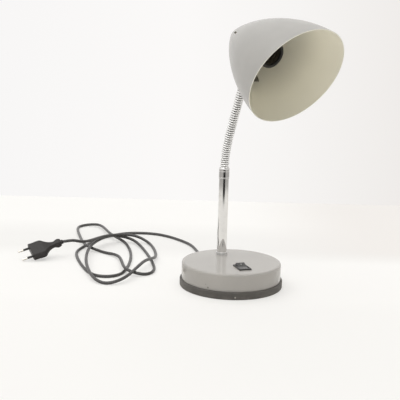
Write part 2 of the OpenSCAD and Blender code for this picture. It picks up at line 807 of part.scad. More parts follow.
// Lead from the neck's end, round the side of the bracket's leg and into the holder's nipple
module head_lead() {
    side = leg_half + lead_r + 1.4;
    up = spigot_top;
    behind = leg_y + bracket_t + rear_tube_out + 4;
    color(cord_color) at_head() tube_along(smooth_route([
        [0, 0, lead_end - link_len / 2], [0, 0, 0], [0, 0, up], [side * 0.45, 0.5, up + 8],
        [side, 5, up + 13], [side, behind - 2, up + 20], [side * 0.6, behind + 1.5, holder_z - 9],
        [side * 0.15, behind + 1.5, holder_z - 2], [0, behind - 4, holder_z],
        [0, leg_y + 1, holder_z], [0, leg_y - 4, holder_z],
    ], 2), lead_r, tube_sides);
}

// ---------------------------------------------------------------- cord, leads and plug

// Moulded grommet: an inner head, a neck in the shell's wall, a flange and a ribbed taper
module strain_relief() {
    rib_count = 6;
    rib_step = relief_len / (rib_count + 0.5);
    rib_deep = 0.9;
    function taper(s) = relief_root_r + (relief_tip_r - relief_root_r) * s / relief_len;
    color(black_color) translate([0, 0, entry_z]) rotate([-90, 0, 0]) difference() {
        rotate_extrude() {
            translate([0, wall_y - base_sheet - 3]) square([relief_flange_r - 0.4, 2.6]);
            translate([0, wall_y - base_sheet - 1]) square([entry_r - seat_gap, base_sheet + 2]);
            translate([0, base_r + 0.1]) square([relief_flange_r, 1.9]);
            polygon([[0, base_r + 1], [relief_root_r, base_r + 1], [relief_root_r, base_r + 2],
                     [relief_tip_r, relief_end], [0, relief_end]]);
        }
        for (k = [1 : rib_count - 1]) translate([0, 0, base_r + 2 + k * rib_step])
            ring_solid(relief_root_r + 1, taper(k * rib_step) - rib_deep, rib_step * 0.4);
    }
}

// Strap that holds the lead down on the weight
module cord_clamp() {
    strap = 1.4;
    foot = 8;
    screw_x = lead_r + strap + foot / 2;
    color(black_color) translate([0, clamp_y + clamp_w / 2, weight_top]) rotate([90, 0, 0])
        linear_extrude(clamp_w) difference() {
            union() {
                translate([0, lead_r + pass_gap]) circle(lead_r + strap);
                translate([-lead_r - strap, 0]) square([2 * (lead_r + strap), lead_r + pass_gap]);
                translate([-screw_x - foot / 2, 0]) square([2 * screw_x + foot, 2.4]);
            }
            translate([0, lead_r + pass_gap]) circle(lead_r);
            translate([-lead_r, -1]) square([2 * lead_r, lead_r + pass_gap + 1]);
        }
}

module clamp_screws() {
    screw_x = lead_r + 1.4 + 4;
    color(zinc_color) for (x = [-screw_x, screw_x]) translate([x, clamp_y, weight_top + 2.4])
        cylinder(r = 2.8, h = 1.8);
}

// Sheathed lead from the strain relief through the clamp
module base_lead() {
    color(cord_color) translate([0, sheath_end, entry_z]) rotate([-90, 0, 0])
        cylinder(r = lead_r, h = wall_y - base_sheet - 3 - sheath_end);
}

// Single cores: from the sheath to the switch, from the switch to the pole, and straight up
module switch_wires() {
    over = entry_z + core_wire_r;
    tab_side = tab_t / 2 + core_wire_r;
    low = housing_z - tab_l / 2;
    bottom = nipple_low - core_wire_r;
    back_tab = [switch_x + tab_side, switch_y + tab_y, low];
    front_tab = [switch_x - tab_side, switch_y - tab_y, low];
    run = pole_y - switch_y;
    slack = 2 * lead_r;
    // cores side by side in the mouth of the sheath, and in the foot of the pole's lead
    side = 1.3 * core_wire_r;
    switch_core = [side, pole_y - 1.2 * core_wire_r, bottom];
    mains_core = [-0.4 * core_wire_r, pole_y + 1.2 * core_wire_r, bottom];
    sheath_core = [side, sheath_end, entry_z];
    other_core = [-side, sheath_end, entry_z];
    short = [0, 0, pass_gap];
    down = [0, 0, 2.2 * core_wire_r];
    in_front = [0, pass_gap, 0];
    ahead = [0, slack / 2, 0];
    color(cord_color) {
        tube_along(smooth_route([
            back_tab, back_tab + slack * [0.6, 1, 0.2],
            [switch_x + 0.8 * slack, switch_y + 0.22 * run, over - 0.4 * slack],
            [slack, switch_y + 0.44 * run, over], [slack, pole_y - 0.17 * run, over],
            [0.6 * slack, pole_y - slack, over], switch_core - down, switch_core - short,
        ], 2), core_wire_r, wire_tube_sides);
        tube_along(smooth_route([
            front_tab, front_tab + slack * [-0.8, 0.8, 0.1],
            [switch_x - 1.3 * slack, switch_y + tab_y, low + 0.2 * slack],
            [switch_x - 1.6 * slack, switch_y + 0.25 * run, entry_z],
            [-1.2 * slack, switch_y + 0.5 * run, entry_z],
            [-1.4 * slack, pole_y - 1.6 * slack, entry_z], [-slack, pole_y + 0.4 * slack, entry_z],
            other_core - ahead, other_core - in_front,
        ], 2), core_wire_r, wire_tube_sides);
        tube_along(smooth_route([
            sheath_core - in_front, sheath_core - ahead,
            [core_wire_r, pole_y + slack / 2, over], mains_core - down, mains_core - short,
        ], 2), core_wire_r, wire_tube_sides);
    }
}

// Sheathed lead through the nipple and the pole to the neck's first hinge
module pole_lead() {
    bottom = nipple_low - 1;
    color(cord_color) at_pole() translate([0, 0, bottom])
        cylinder(r = lead_r, h = neck_z + link_len / 2 - lead_end - bottom);
}

module cord() {
    start = [0, relief_end, entry_z];
    tail = plug_at - plug_len * plug_axis;
    level_off = tail + [17.4, 2.5, 0.4];
    color(cord_color)
        tube_along(smooth_route(concat([start], cord_route, [level_off, tail]), 2), cord_d / 2, tube_sides);
}

// Cross-section of the plug's block: flat, with bevelled ends
module plug_outline() {
    half_w = plug_w / 2;
    half_t = plug_t / 2;
    bevel = 5;
    end_t = 2.6;
    polygon([
        [-half_w, -end_t], [-half_w + bevel, -half_t], [half_w - bevel, -half_t], [half_w, -end_t],
        [half_w, end_t], [half_w - bevel, half_t], [-half_w + bevel, half_t], [-half_w, end_t],
    ]);
}

module plug_body() {
    slab = 0.5;
    waist_at_z = -plug_len + 17;
    color(black_color) at_plug() difference() {
        union() {
            translate([0, 0, -block_len + slab]) linear_extrude(block_len - slab) plug_outline();
            hull() {
                translate([0, 0, -block_len]) linear_extrude(slab) plug_outline();
                translate([0, 0, waist_at_z]) cylinder(r = waist_r, h = 3, $fn = 32);
            }
            translate([0, 0, -plug_len + 8]) cylinder(r = waist_r, h = 10);
            translate([0, 0, -plug_len + 9]) sphere(grip_r);
            translate([0, 0, -plug_len]) cylinder(r = tail_r, h = 9);
        }
        for (x = [-pin_gap / 2, pin_gap / 2]) translate([x, 0, -pin_root])
            cylinder(r = pin_core_r, h = pin_root + 1);
    }
}

module plug_sleeves() {
    color(black_color) at_plug() for (x = [-pin_gap / 2, pin_gap / 2]) translate([x, 0, 0])
        ring_solid(pin_d / 2 - 0.1, pin_core_r, sleeve_len);
}

module plug_pins() {
    color(brass_color) at_plug() for (x = [-pin_gap / 2, pin_gap / 2]) translate([x, 0, 0]) {
        translate([0, 0, -pin_root]) cylinder(r = pin_core_r, h = pin_root + sleeve_len + 1);
        translate([0, 0, sleeve_len]) cylinder(r = pin_d / 2, h = pin_len - sleeve_len - pin_d / 2);
        translate([0, 0, pin_len - pin_d / 2]) sphere(pin_d / 2);
    }
}

base_shell();
base_weight();
foot_ring();
bottom_cover();
cover_screws();
spacer_posts();
switch_housing();
switch_rocker();
switch_tabs();
pole_tube();
pole_foot();
pole_bush();
base_nipple();
base_nut();
base_washer();
collar();
neck_root();
for (i = [1 : link_count - 1]) neck_link(i);
neck_tip();
neck_ferrule();
neck_nut();
shade();
bracket();
holder_nipple();
holder_nut();
holder_cap();
holder_body();
holder_core();
socket_shell();
centre_contact();
head_lead();
strain_relief();
cord_clamp();
clamp_screws();
base_lead();
switch_wires();
pole_lead();
cord();
plug_body();
plug_sleeves();
plug_pins();
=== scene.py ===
"""Gooseneck desk lamp: smooth surfaces, finishes, stage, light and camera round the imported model."""
import math

import bmesh
import bpy
import numpy as np
from mathutils import Matrix


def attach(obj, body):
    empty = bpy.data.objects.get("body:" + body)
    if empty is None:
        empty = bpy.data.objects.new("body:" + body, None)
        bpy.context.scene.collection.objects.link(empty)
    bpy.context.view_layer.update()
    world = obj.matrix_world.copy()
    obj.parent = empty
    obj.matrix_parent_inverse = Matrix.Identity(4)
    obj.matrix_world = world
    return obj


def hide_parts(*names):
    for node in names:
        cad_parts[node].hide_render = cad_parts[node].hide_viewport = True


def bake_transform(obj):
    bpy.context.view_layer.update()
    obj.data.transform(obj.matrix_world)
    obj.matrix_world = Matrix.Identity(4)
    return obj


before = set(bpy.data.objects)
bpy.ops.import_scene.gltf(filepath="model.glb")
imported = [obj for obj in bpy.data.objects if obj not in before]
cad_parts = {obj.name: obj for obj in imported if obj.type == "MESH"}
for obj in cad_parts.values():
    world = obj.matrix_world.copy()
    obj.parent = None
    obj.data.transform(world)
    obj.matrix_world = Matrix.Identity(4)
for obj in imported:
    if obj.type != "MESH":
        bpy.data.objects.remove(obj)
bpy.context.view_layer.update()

MM = 0.001

# ---------------------------------------------------------------- places


def turn(axis, degrees):
    """Rotation matrix by an angle about the x, y or z axis, by the right-hand rule."""
    i, j = {"x": (1, 2), "y": (2, 0), "z": (0, 1)}[axis]
    c, s = math.cos(math.radians(degrees)), math.sin(math.radians(degrees))
    matrix = np.eye(3)
    matrix[i, i] = matrix[j, j] = c
    matrix[i, j], matrix[j, i] = -s, s
    return matrix


class Place:
    """A piece's own axes: a rotation and then an origin, in millimetres."""

    def __init__(self, origin=(0, 0, 0), rotation=None):
        self.origin = np.array(origin, float)
        self.rotation = np.eye(3) if rotation is None else rotation

    def put(self, points):
        """The points, given along these axes, in the lamp's frame."""
        return np.asarray(points, float) @ self.rotation.T + self.origin

    def then(self, offset, rotation=None):
        """A further place, set off and turned along these axes."""
        turned = self.rotation if rotation is None else self.rotation @ rotation
        return Place(self.put(offset), turned)


# The lamp's own sizes in millimetres and angles in degrees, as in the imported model
BASE_R, BASE_TOP, BASE_FOOT, BASE_SHEET, BASE_EDGE = 75.0, 37.0, 3.0, 1.2, 3.2
SWITCH_X, SWITCH_Y = 2.4, -38.5
POLE_Y, POLE_R, POLE_BORE_R, POLE_TOP = 43.0, 7.5, 6.5, 166.0
NECK_Z, NECK_SWING, NECK_BEND = 171.0, 12.0, 22.5
LINKS, BENT_LINKS, LINK_LEN = 12, 6, 13.0
HEAD_TURN, SEAT_AT, HOLDER_RISE = 5.5, 45.0, 7.0
ENTRY_Z = 20.0


def neck_line():
    """Leans of the neck's stretches, its hinges and its end, in its upright plane as (forward, up).
    Each hinge adds its turn to the lean, and the turns fall evenly to none half way up."""
    number = np.arange(LINKS)
    turns = 2 * NECK_BEND * (1 - (number + 0.5) / BENT_LINKS) / BENT_LINKS
    leans = np.radians(np.concatenate([[0], np.cumsum(np.where(number < BENT_LINKS, turns, 0))]))
    lengths = LINK_LEN * np.array([0.5] + [1] * (LINKS - 1) + [0.5])
    stretches = np.stack([np.sin(leans), np.cos(leans)], 1) * lengths[:, None]
    line = np.concatenate([[[0, 0]], np.cumsum(stretches, 0)])
    return leans, line[1:-1], line[-1]


leans, hinges, neck_end = neck_line()
# Where the neck's pieces join: its foot, the middle of each stretch between hinges, and its end
joins = np.concatenate([[[0, 0]], (hinges[1:] + hinges[:-1]) / 2, [neck_end]])

at_base = Place()
at_switch = Place((SWITCH_X, SWITCH_Y, 0))
at_pole = Place((0, POLE_Y, 0))
at_neck = Place((0, POLE_Y, NECK_Z), turn("z", NECK_SWING))
at_head = at_neck.then((0, -neck_end[0], neck_end[1]), turn("x", NECK_BEND) @ turn("z", HEAD_TURN))
at_relief = Place((0, 0, ENTRY_Z), turn("x", -90))
at_plug = Place((-272, 213.5, 12.3), turn("z", -74) @ turn("y", 30) @ turn("x", 106))

# ---------------------------------------------------------------- camera

AZIMUTH, ELEVATION, ROLL = map(math.radians, (-19.0, 11.048, -1.5))
DISTANCE, LENS, SENSOR = 1.240, 74.849, 36.0
TARGET = np.array([-0.04716, 0.01624, 0.129775])

back = np.array([
    math.sin(AZIMUTH) * math.cos(ELEVATION),
    -math.cos(AZIMUTH) * math.cos(ELEVATION),
    math.sin(ELEVATION),
])
level_right = np.cross(-back, (0, 0, 1))
level_right /= np.linalg.norm(level_right)
level_up = np.cross(level_right, -back)

camera_data = bpy.data.cameras.new("camera")
camera_data.lens, camera_data.sensor_width = LENS, SENSOR
camera = bpy.data.objects.new("camera", camera_data)
bpy.context.scene.collection.objects.link(camera)
view_matrix = np.eye(4)
view_matrix[:3, 0] = math.cos(ROLL) * level_right - math.sin(ROLL) * level_up
view_matrix[:3, 1] = math.cos(ROLL) * level_up + math.sin(ROLL) * level_right
view_matrix[:3, 2] = back
view_matrix[:3, 3] = TARGET + DISTANCE * back
camera.matrix_world = Matrix(view_matrix.tolist())
bpy.context.scene.camera = camera

# ---------------------------------------------------------------- finishes


class Value:
    """A socket of a shader tree; arithmetic on it adds Math nodes."""

    def __init__(self, nodes, socket):
        self.nodes, self.socket = nodes, socket

    def __add__(self, other):
        return self.nodes.maths("ADD", self, other)

    def __sub__(self, other):
        return self.nodes.maths("SUBTRACT", self, other)

    def __rsub__(self, other):
        return self.nodes.maths("SUBTRACT", other, self)

    def __mul__(self, other):
        return self.nodes.maths("MULTIPLY", self, other)

    __radd__, __rmul__ = __add__, __mul__

    def step(self, low, high):
        """0 below low and 1 above high, smooth between them."""
        settings = {"interpolation_type": "SMOOTHSTEP"}
        inputs = {"Value": self, "From Min": low, "From Max": high}
        return self.nodes.node("MapRange", settings, inputs)["Result"]


class Outputs:
    """The outputs of one node, by name or number."""

    def __init__(self, nodes, made):
        self.nodes, self.made = nodes, made

    def __getitem__(self, key):
        return Value(self.nodes, self.made.outputs[key])


class Nodes:
    """A shader tree, whose nodes all come from node()."""

    def __init__(self, owner):
        owner.use_nodes = True
        self.tree = owner.node_tree

    def feed(self, socket, value):
        """Links a socket to a value, or sets it to a number or colour."""
        if isinstance(value, Value):
            self.tree.links.new(value.socket, socket)
        else:
            socket.default_value = value

    def node(self, kind, settings=None, inputs=None):
        """A node of a kind, with its settings and then its sockets' values or links."""
        made = self.tree.nodes.new("ShaderNode" + kind)
        for key, value in (settings or {}).items():
            if key == "stops":
                stops = made.color_ramp.elements
                while len(stops) < len(value):
                    stops.new(1)
                for stop, (at, colour) in zip(stops, value):
                    stop.position, stop.color = at, (*colour, 1)
            else:
                setattr(made, key, value)
        for key, value in (inputs or {}).items():
            self.feed(made.inputs[key], value)
        return Outputs(self, made)

    def maths(self, operation, *terms):
        """Result of a Math node."""
        return self.node("Math", {"operation": operation}, dict(enumerate(terms)))["Value"]

    def vectors(self, operation, *terms, result="Value"):
        """Result of a Vector Math node: a number, or with result "Vector" a vector."""
        return self.node("VectorMath", {"operation": operation}, dict(enumerate(terms)))[result]

    def along(self, where, direction):
        """Distance reached from the origin in a direction."""
        return self.vectors("DOT_PRODUCT", where, tuple(direction))

    def blend(self, share, first, second):
        """Colour that goes from the first to the second as the share goes from 0 to 1."""
        first, second = (c if isinstance(c, Value) else (*c, 1) for c in (first, second))
        return self.node("Mix", {"data_type": "RGBA"}, {0: share, 6: first, 7: second})[2]

    def glow(self, colour):
        """Shader that shows a colour as it is, whatever the light."""
        return self.node("Emission", {}, {"Color": colour})["Emission"]

    def clear(self):
        """Shader that shows what lies behind."""
        return self.node("BsdfTransparent")["BSDF"]

    def show(self, share, first, second):
        """Makes the result a mix that goes from the first shader to the second."""
        self.output(self.node("MixShader", {}, {0: share, 1: first, 2: second})["Shader"])

    def output(self, shader, name="Material Output"):
        """Makes a shader the tree's result."""
        self.tree.links.new(shader.socket, self.tree.nodes[name].inputs["Surface"])


class Finish(Nodes):
    """One procedural material on its piece's object coordinates."""

    def __init__(self, name, **constants):
        self.material = bpy.data.materials.new(name)
        super().__init__(self.material)
        self.surface = self.tree.nodes["Principled BSDF"]
        self.coords = self.node("TexCoord")["Object"]
        self.wear(**constants)

    def noise(self, scale, detail=2.0, roughness=0.5, where=None):
        """Cloudy noise about 0.5, with features of about 1 / scale metres."""
        inputs = {"Scale": scale, "Detail": detail, "Roughness": roughness}
        return self.node("TexNoise", {}, {"Vector": where or self.coords, **inputs})[0]

    def specks(self, scale, size):
        """1 in round specks and 0 from size times their spacing away from a speck's middle."""
        cells = self.node("TexVoronoi", {}, {"Vector": self.coords, "Scale": scale})["Distance"]
        return 1 - cells.step(size * 0.6, size)

    def near(self, point, reach):
        """1 round a point of the lamp's frame, given in millimetres, and 0 from reach away."""
        distance = self.vectors("DISTANCE", self.coords, tuple(MM * p for p in point))
        return 1 - distance.step(reach * MM * 0.5, reach * MM)

    def height(self):
        """Height over the table in metres."""
        return self.along(self.coords, (0, 0, 1))

    def stored(self, name):
        """A value stored on the piece's own points."""
        return self.node("Attribute", {"attribute_name": name})["Fac"]

    def bump(self, height, distance, strength):
        """Normal over a relief, whose height from 0 to 1 is a distance in millimetres."""
        inputs = {"Height": height, "Distance": distance * MM, "Strength": strength}
        return self.node("Bump", {}, inputs)["Normal"]

    def wear(self, **inputs):
        """Sets or links the surface's sockets, named in lower case with underscores."""
        for key, value in inputs.items():
            socket = key.replace("_", " ").title().replace("Ior", "IOR")
            self.feed(self.surface.inputs[socket], value)
        return self.material


def shaded(colour, share):
    """A colour at a share of its brightness."""
    return [c * share for c in colour]


def enamel(name, colour, gloss, haze, details):
    """Sprayed enamel under a gloss coat of some strength and haze: orange peel, faint clouding, dust
    and small marks, over what details(finish, tone) makes of the tone."""
    finish = Finish(name, coat_roughness=haze, specular_ior_level=0.08)
    cloud = finish.noise(14, 4, 0.6)
    marks = finish.specks(260, 0.10) * finish.noise(40, 2).step(0.55, 0.7)
    tone = finish.blend(cloud.step(0.3, 0.7), shaded(colour, 0.96), shaded(colour, 1.03))
    tone = finish.blend(marks * 0.25, details(finish, tone), shaded(colour, 0.6))
    peel = finish.noise(420, 2, 0.4) + finish.noise(1500, 1) * 0.3
    rough = 0.42 + finish.noise(60, 5, 0.65) * 0.12 + marks * 0.2
    return finish.wear(base_color=tone, roughness=rough, coat_weight=gloss + cloud * 0.12,
                       normal=finish.bump(peel, 0.012, 0.5))


BASE_GREY, SHADE_GREY = (0.438, 0.416, 0.386), (0.472, 0.460, 0.438)
# The inside's cream is painted paler than the outside paint for light bounced round in the bell, and the
# rim's tone is a painted highlight on the sheet's edge
SHADE_INSIDE_LIT, SHADE_RIM_HIGHLIGHT = (0.90, 0.865, 0.735), (0.82, 0.795, 0.70)
BARE_METAL = (0.12, 0.11, 0.09)
# Chips of the base's paint, each a point, its reach and its strength
CHIPS = [((-54.9, -51.2, 14.6), 1.7, 0.75), ((-57.4, -48.4, 19), 1.2, 0.35)]
# Middle, in the head's axes, and reach of the painted shade inside the bell round the lamp holder
HOLDER_SHADE_AT, HOLDER_SHADE_REACH = (8, 0, 58), 94


def base_details(finish, tone):
    """Chips to the metal, and the paint darker in patches just above the foot ring."""
    for point, reach, strength in CHIPS:
        tone = finish.blend(finish.near(point, reach) * strength, tone, BARE_METAL)
    darker_above_ring = 1 - finish.height().step(0.0115, 0.0145)
    return finish.blend(darker_above_ring * finish.noise(90, 3) * 0.5, tone, shaded(BASE_GREY, 0.55))


def shade_details(finish, tone):
    """The cream inside, painted pale for light bounced in the bell; painted shade round the holder;
    painted rim highlight.
    """
    # Painted shade: the inside darker round the lamp holder
    painted_shade = finish.near(at_head.put(HOLDER_SHADE_AT), HOLDER_SHADE_REACH) * 0.56
    inside = finish.blend(painted_shade, SHADE_INSIDE_LIT, shaded(SHADE_INSIDE_LIT, 0.55))
    tone = finish.blend(finish.stored("inside").step(0.45, 0.55), tone, inside)
    return finish.blend(finish.stored("rim") * 0.75, tone, SHADE_RIM_HIGHLIGHT)


def chrome_plate():
    """Bright plate with wiping haze and hair scratches."""
    finish = Finish("chrome_plate", metallic=1.0)
    haze = finish.noise(55, 4, 0.6).step(0.45, 0.75)
    stretched = finish.node("Mapping", {}, {"Vector": finish.coords, "Scale": (1, 1, 0.06)})["Vector"]
    hairs = finish.noise(2600, 2, 0.6, stretched).step(0.62, 0.72)
    tone = finish.blend(haze, (0.74, 0.73, 0.715), (0.66, 0.65, 0.635))
    pits = finish.specks(900, 0.08)
    tone = finish.blend(pits * finish.noise(30).step(0.5, 0.6) * 0.6, tone, (0.35, 0.33, 0.30))
    rough = 0.045 + haze * 0.09 + hairs * 0.06
    return finish.wear(base_color=tone, roughness=rough, normal=finish.bump(hairs * -1, 0.004, 0.3))


def metal(name, colour, dark, rough, grain, relief, metallic=1.0):
    """Plain worked metal: mottled tarnish between two tones, and a fine grain."""
    finish = Finish(name, metallic=metallic)
    tarnish = finish.noise(80, 5, 0.65)
    fine = finish.noise(grain, 3, 0.6)
    tone = finish.blend(tarnish.step(0.35, 0.7), colour, dark)
    rough = rough + tarnish * 0.15 + fine * 0.06
    return finish.wear(base_color=tone, roughness=rough, normal=finish.bump(fine, relief, 0.5))


def moulded(name, colour, rough, coat=0.0, grain=1800, relief=0.012, dust=0.12, shine=0.5):
    """Moulded plastic: a fine grain, scuffs that lighten it, and dust that lies in patches."""
    finish = Finish(name, coat_roughness=0.12, specular_ior_level=shine)
    patches = finish.noise(45, 4, 0.6)
    fine = finish.noise(grain, 2, 0.5)
    scuffs = finish.noise(500, 3, 0.7).step(0.6, 0.8) * patches.step(0.45, 0.7)
    lighter = [c + 0.10 for c in colour]
    tone = finish.blend(scuffs * 0.35 + finish.specks(700, 0.09) * dust, colour, lighter)
    tone = finish.blend(patches.step(0.3, 0.8) * 0.3, tone, shaded(colour, 0.8))
    rough = rough + patches * 0.12 + scuffs * 0.15
    return finish.wear(base_color=tone, roughness=rough, coat_weight=coat + patches * 0.05,
                       normal=finish.bump(fine, relief, 0.6))


MOULD_NUB = (-21.4, -74.6, 4)


def ring_plastic():
    """Soft plastic of the foot ring: warm grey, lighter in patches near the table, with a pale mould
    nub.
    """
    finish = Finish("ring_plastic", specular_ior_level=0.5)
    patches, fine = finish.noise(35, 5, 0.65), finish.noise(1200, 2)
    lighter_low = (1 - finish.height().step(0.001, 0.008)) * patches.step(0.35, 0.65)
    tone = finish.blend(patches.step(0.35, 0.7), (0.080, 0.074, 0.066), (0.105, 0.097, 0.085))
    tone = finish.blend(lighter_low * 0.4 + finish.specks(700, 0.09) * 0.4, tone, (0.21, 0.195, 0.17))
    tone = finish.blend(finish.near(MOULD_NUB, 1.5), tone, (0.40, 0.37, 0.33))
    rough = 0.48 + patches * 0.14 + lighter_low * 0.1
    return finish.wear(base_color=tone, roughness=rough, normal=finish.bump(fine, 0.03, 0.6))


CORE_TWIST = 0.034


def sheath():
    """Cord's soft sheath: lighter scuffs that run along it, and a faint ripple of the two cores, which
    turn about each other once in each CORE_TWIST metres."""
    finish = Finish("cord_sheath", specular_ior_level=0.7)
    along, around = finish.stored("along"), finish.stored("around")
    where = finish.node("CombineXYZ", {}, {0: along * 60, 1: around * 1.5, 2: 0.0})["Vector"]
    scuffs = finish.noise(1.6, 4, 0.6, where).step(0.5, 0.75)
    twist = finish.maths("SINE", along * (2 * math.pi / CORE_TWIST) + around * (4 * math.pi))
    tone = finish.blend(scuffs * 0.45, (0.038, 0.035, 0.033), (0.095, 0.090, 0.086))
    rough = 0.28 + finish.noise(120, 3) * 0.14 + scuffs * 0.08
    return finish.wear(base_color=tone, roughness=rough, normal=finish.bump(twist, 0.05, 0.5))


finishes = {
    "base_paint": enamel("base_enamel", BASE_GREY, 0.84, 0.06, base_details),
    "shade_paint": enamel("shade_enamel", SHADE_GREY, 0.42, 0.12, shade_details),
    "ring_rubber": ring_plastic(),
    "iron": metal("cast_iron", (0.14, 0.14, 0.145), (0.09, 0.085, 0.08), 0.55, 900, 0.05),
    "zinc_steel": metal("zinc_steel", (0.52, 0.51, 0.47), (0.36, 0.34, 0.29), 0.32, 1500, 0.01),
    "black_plastic": moulded("black_plastic", (0.012, 0.011, 0.010), 0.34, coat=0.22),
    "rocker_plastic": moulded("rocker_plastic", (0.018, 0.017, 0.016), 0.34, coat=0.55),
    "black_bakelite": moulded("black_bakelite", (0.019, 0.018, 0.017), 0.36, relief=0.004, dust=0.1,
                              shine=0.22),
    # Zinc steel painted darker: painted shade on the bracket inside the bell
    "zinc_steel_in_shade": metal("zinc_steel_in_shade", (0.24, 0.23, 0.20), (0.15, 0.14, 0.12), 0.40, 1500, 0.01),
    "brass": metal("brass", (0.74, 0.58, 0.30), (0.50, 0.37, 0.17), 0.24, 1400, 0.008),
    # Brass darkened to near black: painted shade deep inside the lamp holder
    "brass_in_shade": metal("brass_in_shade", (0.13, 0.115, 0.09), (0.055, 0.048, 0.038), 0.38, 1400, 0.01),
    "satin_steel": metal("satin_steel", (0.70, 0.695, 0.685), (0.58, 0.575, 0.565), 0.34, 1400, 0.01,
                         metallic=0.8),
    "pin_plate": metal("pin_plate", (0.80, 0.78, 0.74), (0.66, 0.63, 0.57), 0.14, 1600, 0.005),
    "chrome": chrome_plate(),
    "coil_wire": metal("coil_wire", (0.97, 0.965, 0.955), (0.90, 0.895, 0.885), 0.20, 1600, 0.004,
                       metallic=0.55),
    "ceramic": moulded("ceramic", (0.70, 0.67, 0.61), 0.55, grain=900, relief=0.02, dust=0.0),
    "cord_sheath": sheath(),
    "plug_plastic": moulded("plug_plastic", (0.018, 0.015, 0.014), 0.40, coat=0.12, relief=0.02,
                            shine=0.32),
    "mark_paint": moulded("mark_paint", (0.34, 0.34, 0.33), 0.45, dust=0.0),
    "lead_sheath": moulded("lead_sheath", (0.10, 0.095, 0.09), 0.45),
}

# ---------------------------------------------------------------- surfaces

# Points nearer than MERGE metres become one, and TINY keeps a divisor above zero
MERGE, TINY = 1e-6, 1e-9


class Skin:
    """Grids of points that make up closed surfaces, in millimetres."""

    def __init__(self):
        self.points, self.faces, self.stored, self.count = [], [], [], 0

    def grid(self, points, wrap_rows=False, **stored):
        """Adds a rows x columns x 3 grid, whose last column joins its first, and whose last row may.
        Values to store are given by name, for each point, row or column."""
        rows, columns = points.shape[:2]
        row = np.arange(rows if wrap_rows else rows - 1)[:, None]
        column = np.arange(columns)[None, :]
        next_row, next_column = (row + 1) % rows, (column + 1) % columns
        corners = [row * columns + column, row * columns + next_column,
                   next_row * columns + next_column, next_row * columns + column]
        self.faces.append(np.stack(corners, -1).reshape(-1, 4) + self.count)
        self.points.append(points.reshape(-1, 3))
        stored = {key: np.broadcast_to(value, (rows, columns)).ravel() for key, value in stored.items()}
        self.stored.append(stored)
        self.count += rows * columns
        return self

    def piece(self, name, finish, body=None, replaces=(), slot=None, sharp=40):
        """The mesh object, with seams and poles merged, faces outward and edges above an angle sharp.
        It rides on the body. The slot argument is not used."""
        mesh = bpy.data.meshes.new(name)
        points, faces = np.concatenate(self.points) * MM, np.concatenate(self.faces)
        mesh.from_pydata(points.tolist(), [], faces.tolist())
        for key in self.stored[0]:
            values = np.concatenate([grid[key] for grid in self.stored]).astype(np.float32)
            mesh.attributes.new(key, "FLOAT", "POINT").data.foreach_set("value", values)
        form = bmesh.new()
        form.from_mesh(mesh)
        bmesh.ops.remove_doubles(form, verts=form.verts, dist=MERGE)
        bmesh.ops.dissolve_degenerate(form, edges=form.edges, dist=MERGE / 10)
        bmesh.ops.recalc_face_normals(form, faces=form.faces)
        form.to_mesh(mesh)
        form.free()
        mesh.shade_smooth()
        mesh.set_sharp_from_angle(angle=math.radians(sharp))
        mesh.materials.append(finishes[finish])
        made = bpy.data.objects.new(name, mesh)
        bpy.context.scene.collection.objects.link(made)
        if body:
            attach(made, body)
        if replaces:
            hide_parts(*replaces)
        return made


def soften(corners, steps=4):
    """Outline in which each corner (x, y, reach) is the quadratic curve between the points that lie
    reach away from it on both sides, with the corner as the curve's middle control point. One more
    point beyond each end of a curve keeps the straight stretches shaded straight."""
    corners = np.array(corners, float)
    corner, reach = corners[:, None, :2], corners[:, None, 2:]
    before, after = np.roll(corner, 1, 0) - corner, np.roll(corner, -1, 0) - corner
    length = [np.linalg.norm(side, axis=2, keepdims=True) for side in (before, after)]
    share = [np.minimum(reach / np.maximum(side, TINY), 0.5) for side in length]
    start, stop = corner + before * share[0], corner + after * share[1]
    t = np.linspace(0, 1, steps + 1)[None, :, None]
    curve = (1 - t) ** 2 * start + 2 * t * (1 - t) * corner + t * t * stop
    held = [corner + side * np.minimum(1.25 * part, 0.5) for side, part in zip((before, after), share)]
    return np.concatenate([held[0], curve, held[1]], 1).reshape(-1, 2)


def raised(plan, height):
    """Grid of points (x, y) lifted to heights, which may differ from row to row."""
    return np.concatenate([plan, np.broadcast_to(height, plan.shape[:2] + (1,))], -1)


def revolve(outline, place, steps=96):
    """Grid of an outline of (radius, height) points carried round a place's upright axis."""
    angle = np.linspace(0, 2 * np.pi, steps, endpoint=False)
    radius, height = outline[:, None, 0], outline[:, None, 1]
    points = np.stack([radius * np.cos(angle), radius * np.sin(angle), height + 0 * angle], -1)
    return place.put(points)


def turned(name, finish, place, corners, body, node, steps=96, slot=None):
    """A turned piece from the corners (radius, height, reach) of its closed outline, for a node."""
    skin = Skin().grid(revolve(soften(corners), place, steps), wrap_rows=True)
    return skin.piece(name, finish, body, [node], slot)


def carried(line, radius, sides, side_hint=(0, 0, 1)):
    """Grid of a round tube: circles square to a line of points, closed to a point at both ends."""
    heading = np.gradient(line, axis=0)
    heading /= np.linalg.norm(heading, axis=1, keepdims=True)
    across = np.cross(heading, side_hint)
    across /= np.linalg.norm(across, axis=1, keepdims=True)
    over = np.cross(across, heading)
    angle = np.linspace(0, 2 * np.pi, sides, endpoint=False)[None, :, None]
    rings = line[:, None] + radius * (np.cos(angle) * across[:, None] + np.sin(angle) * over[:, None])
    ends = [np.broadcast_to(line[i], (1, sides, 3)) for i in (0, -1)]
    return np.concatenate([ends[0], rings, ends[1]])


def smooth_line(knots, steps):
    """Line through the knots, with the ends repeated: each span is the cubic whose slope at either
    knot is half the step from the knot before it to the knot after it."""
    p = np.concatenate([knots[:1], knots, knots[-1:]])[:, None]
    t = np.linspace(0, 1, steps, endpoint=False)[None, :, None]
    a, b, c, d = p[:-3], p[1:-2], p[2:-1], p[3:]
    square, cube = 2 * a - 5 * b + 4 * c - d, 3 * b - a - 3 * c + d
    spans = 0.5 * (2 * b + (c - a) * t + square * t**2 + cube * t**3)
    return np.concatenate([spans.reshape(-1, 3), knots[-1:]])


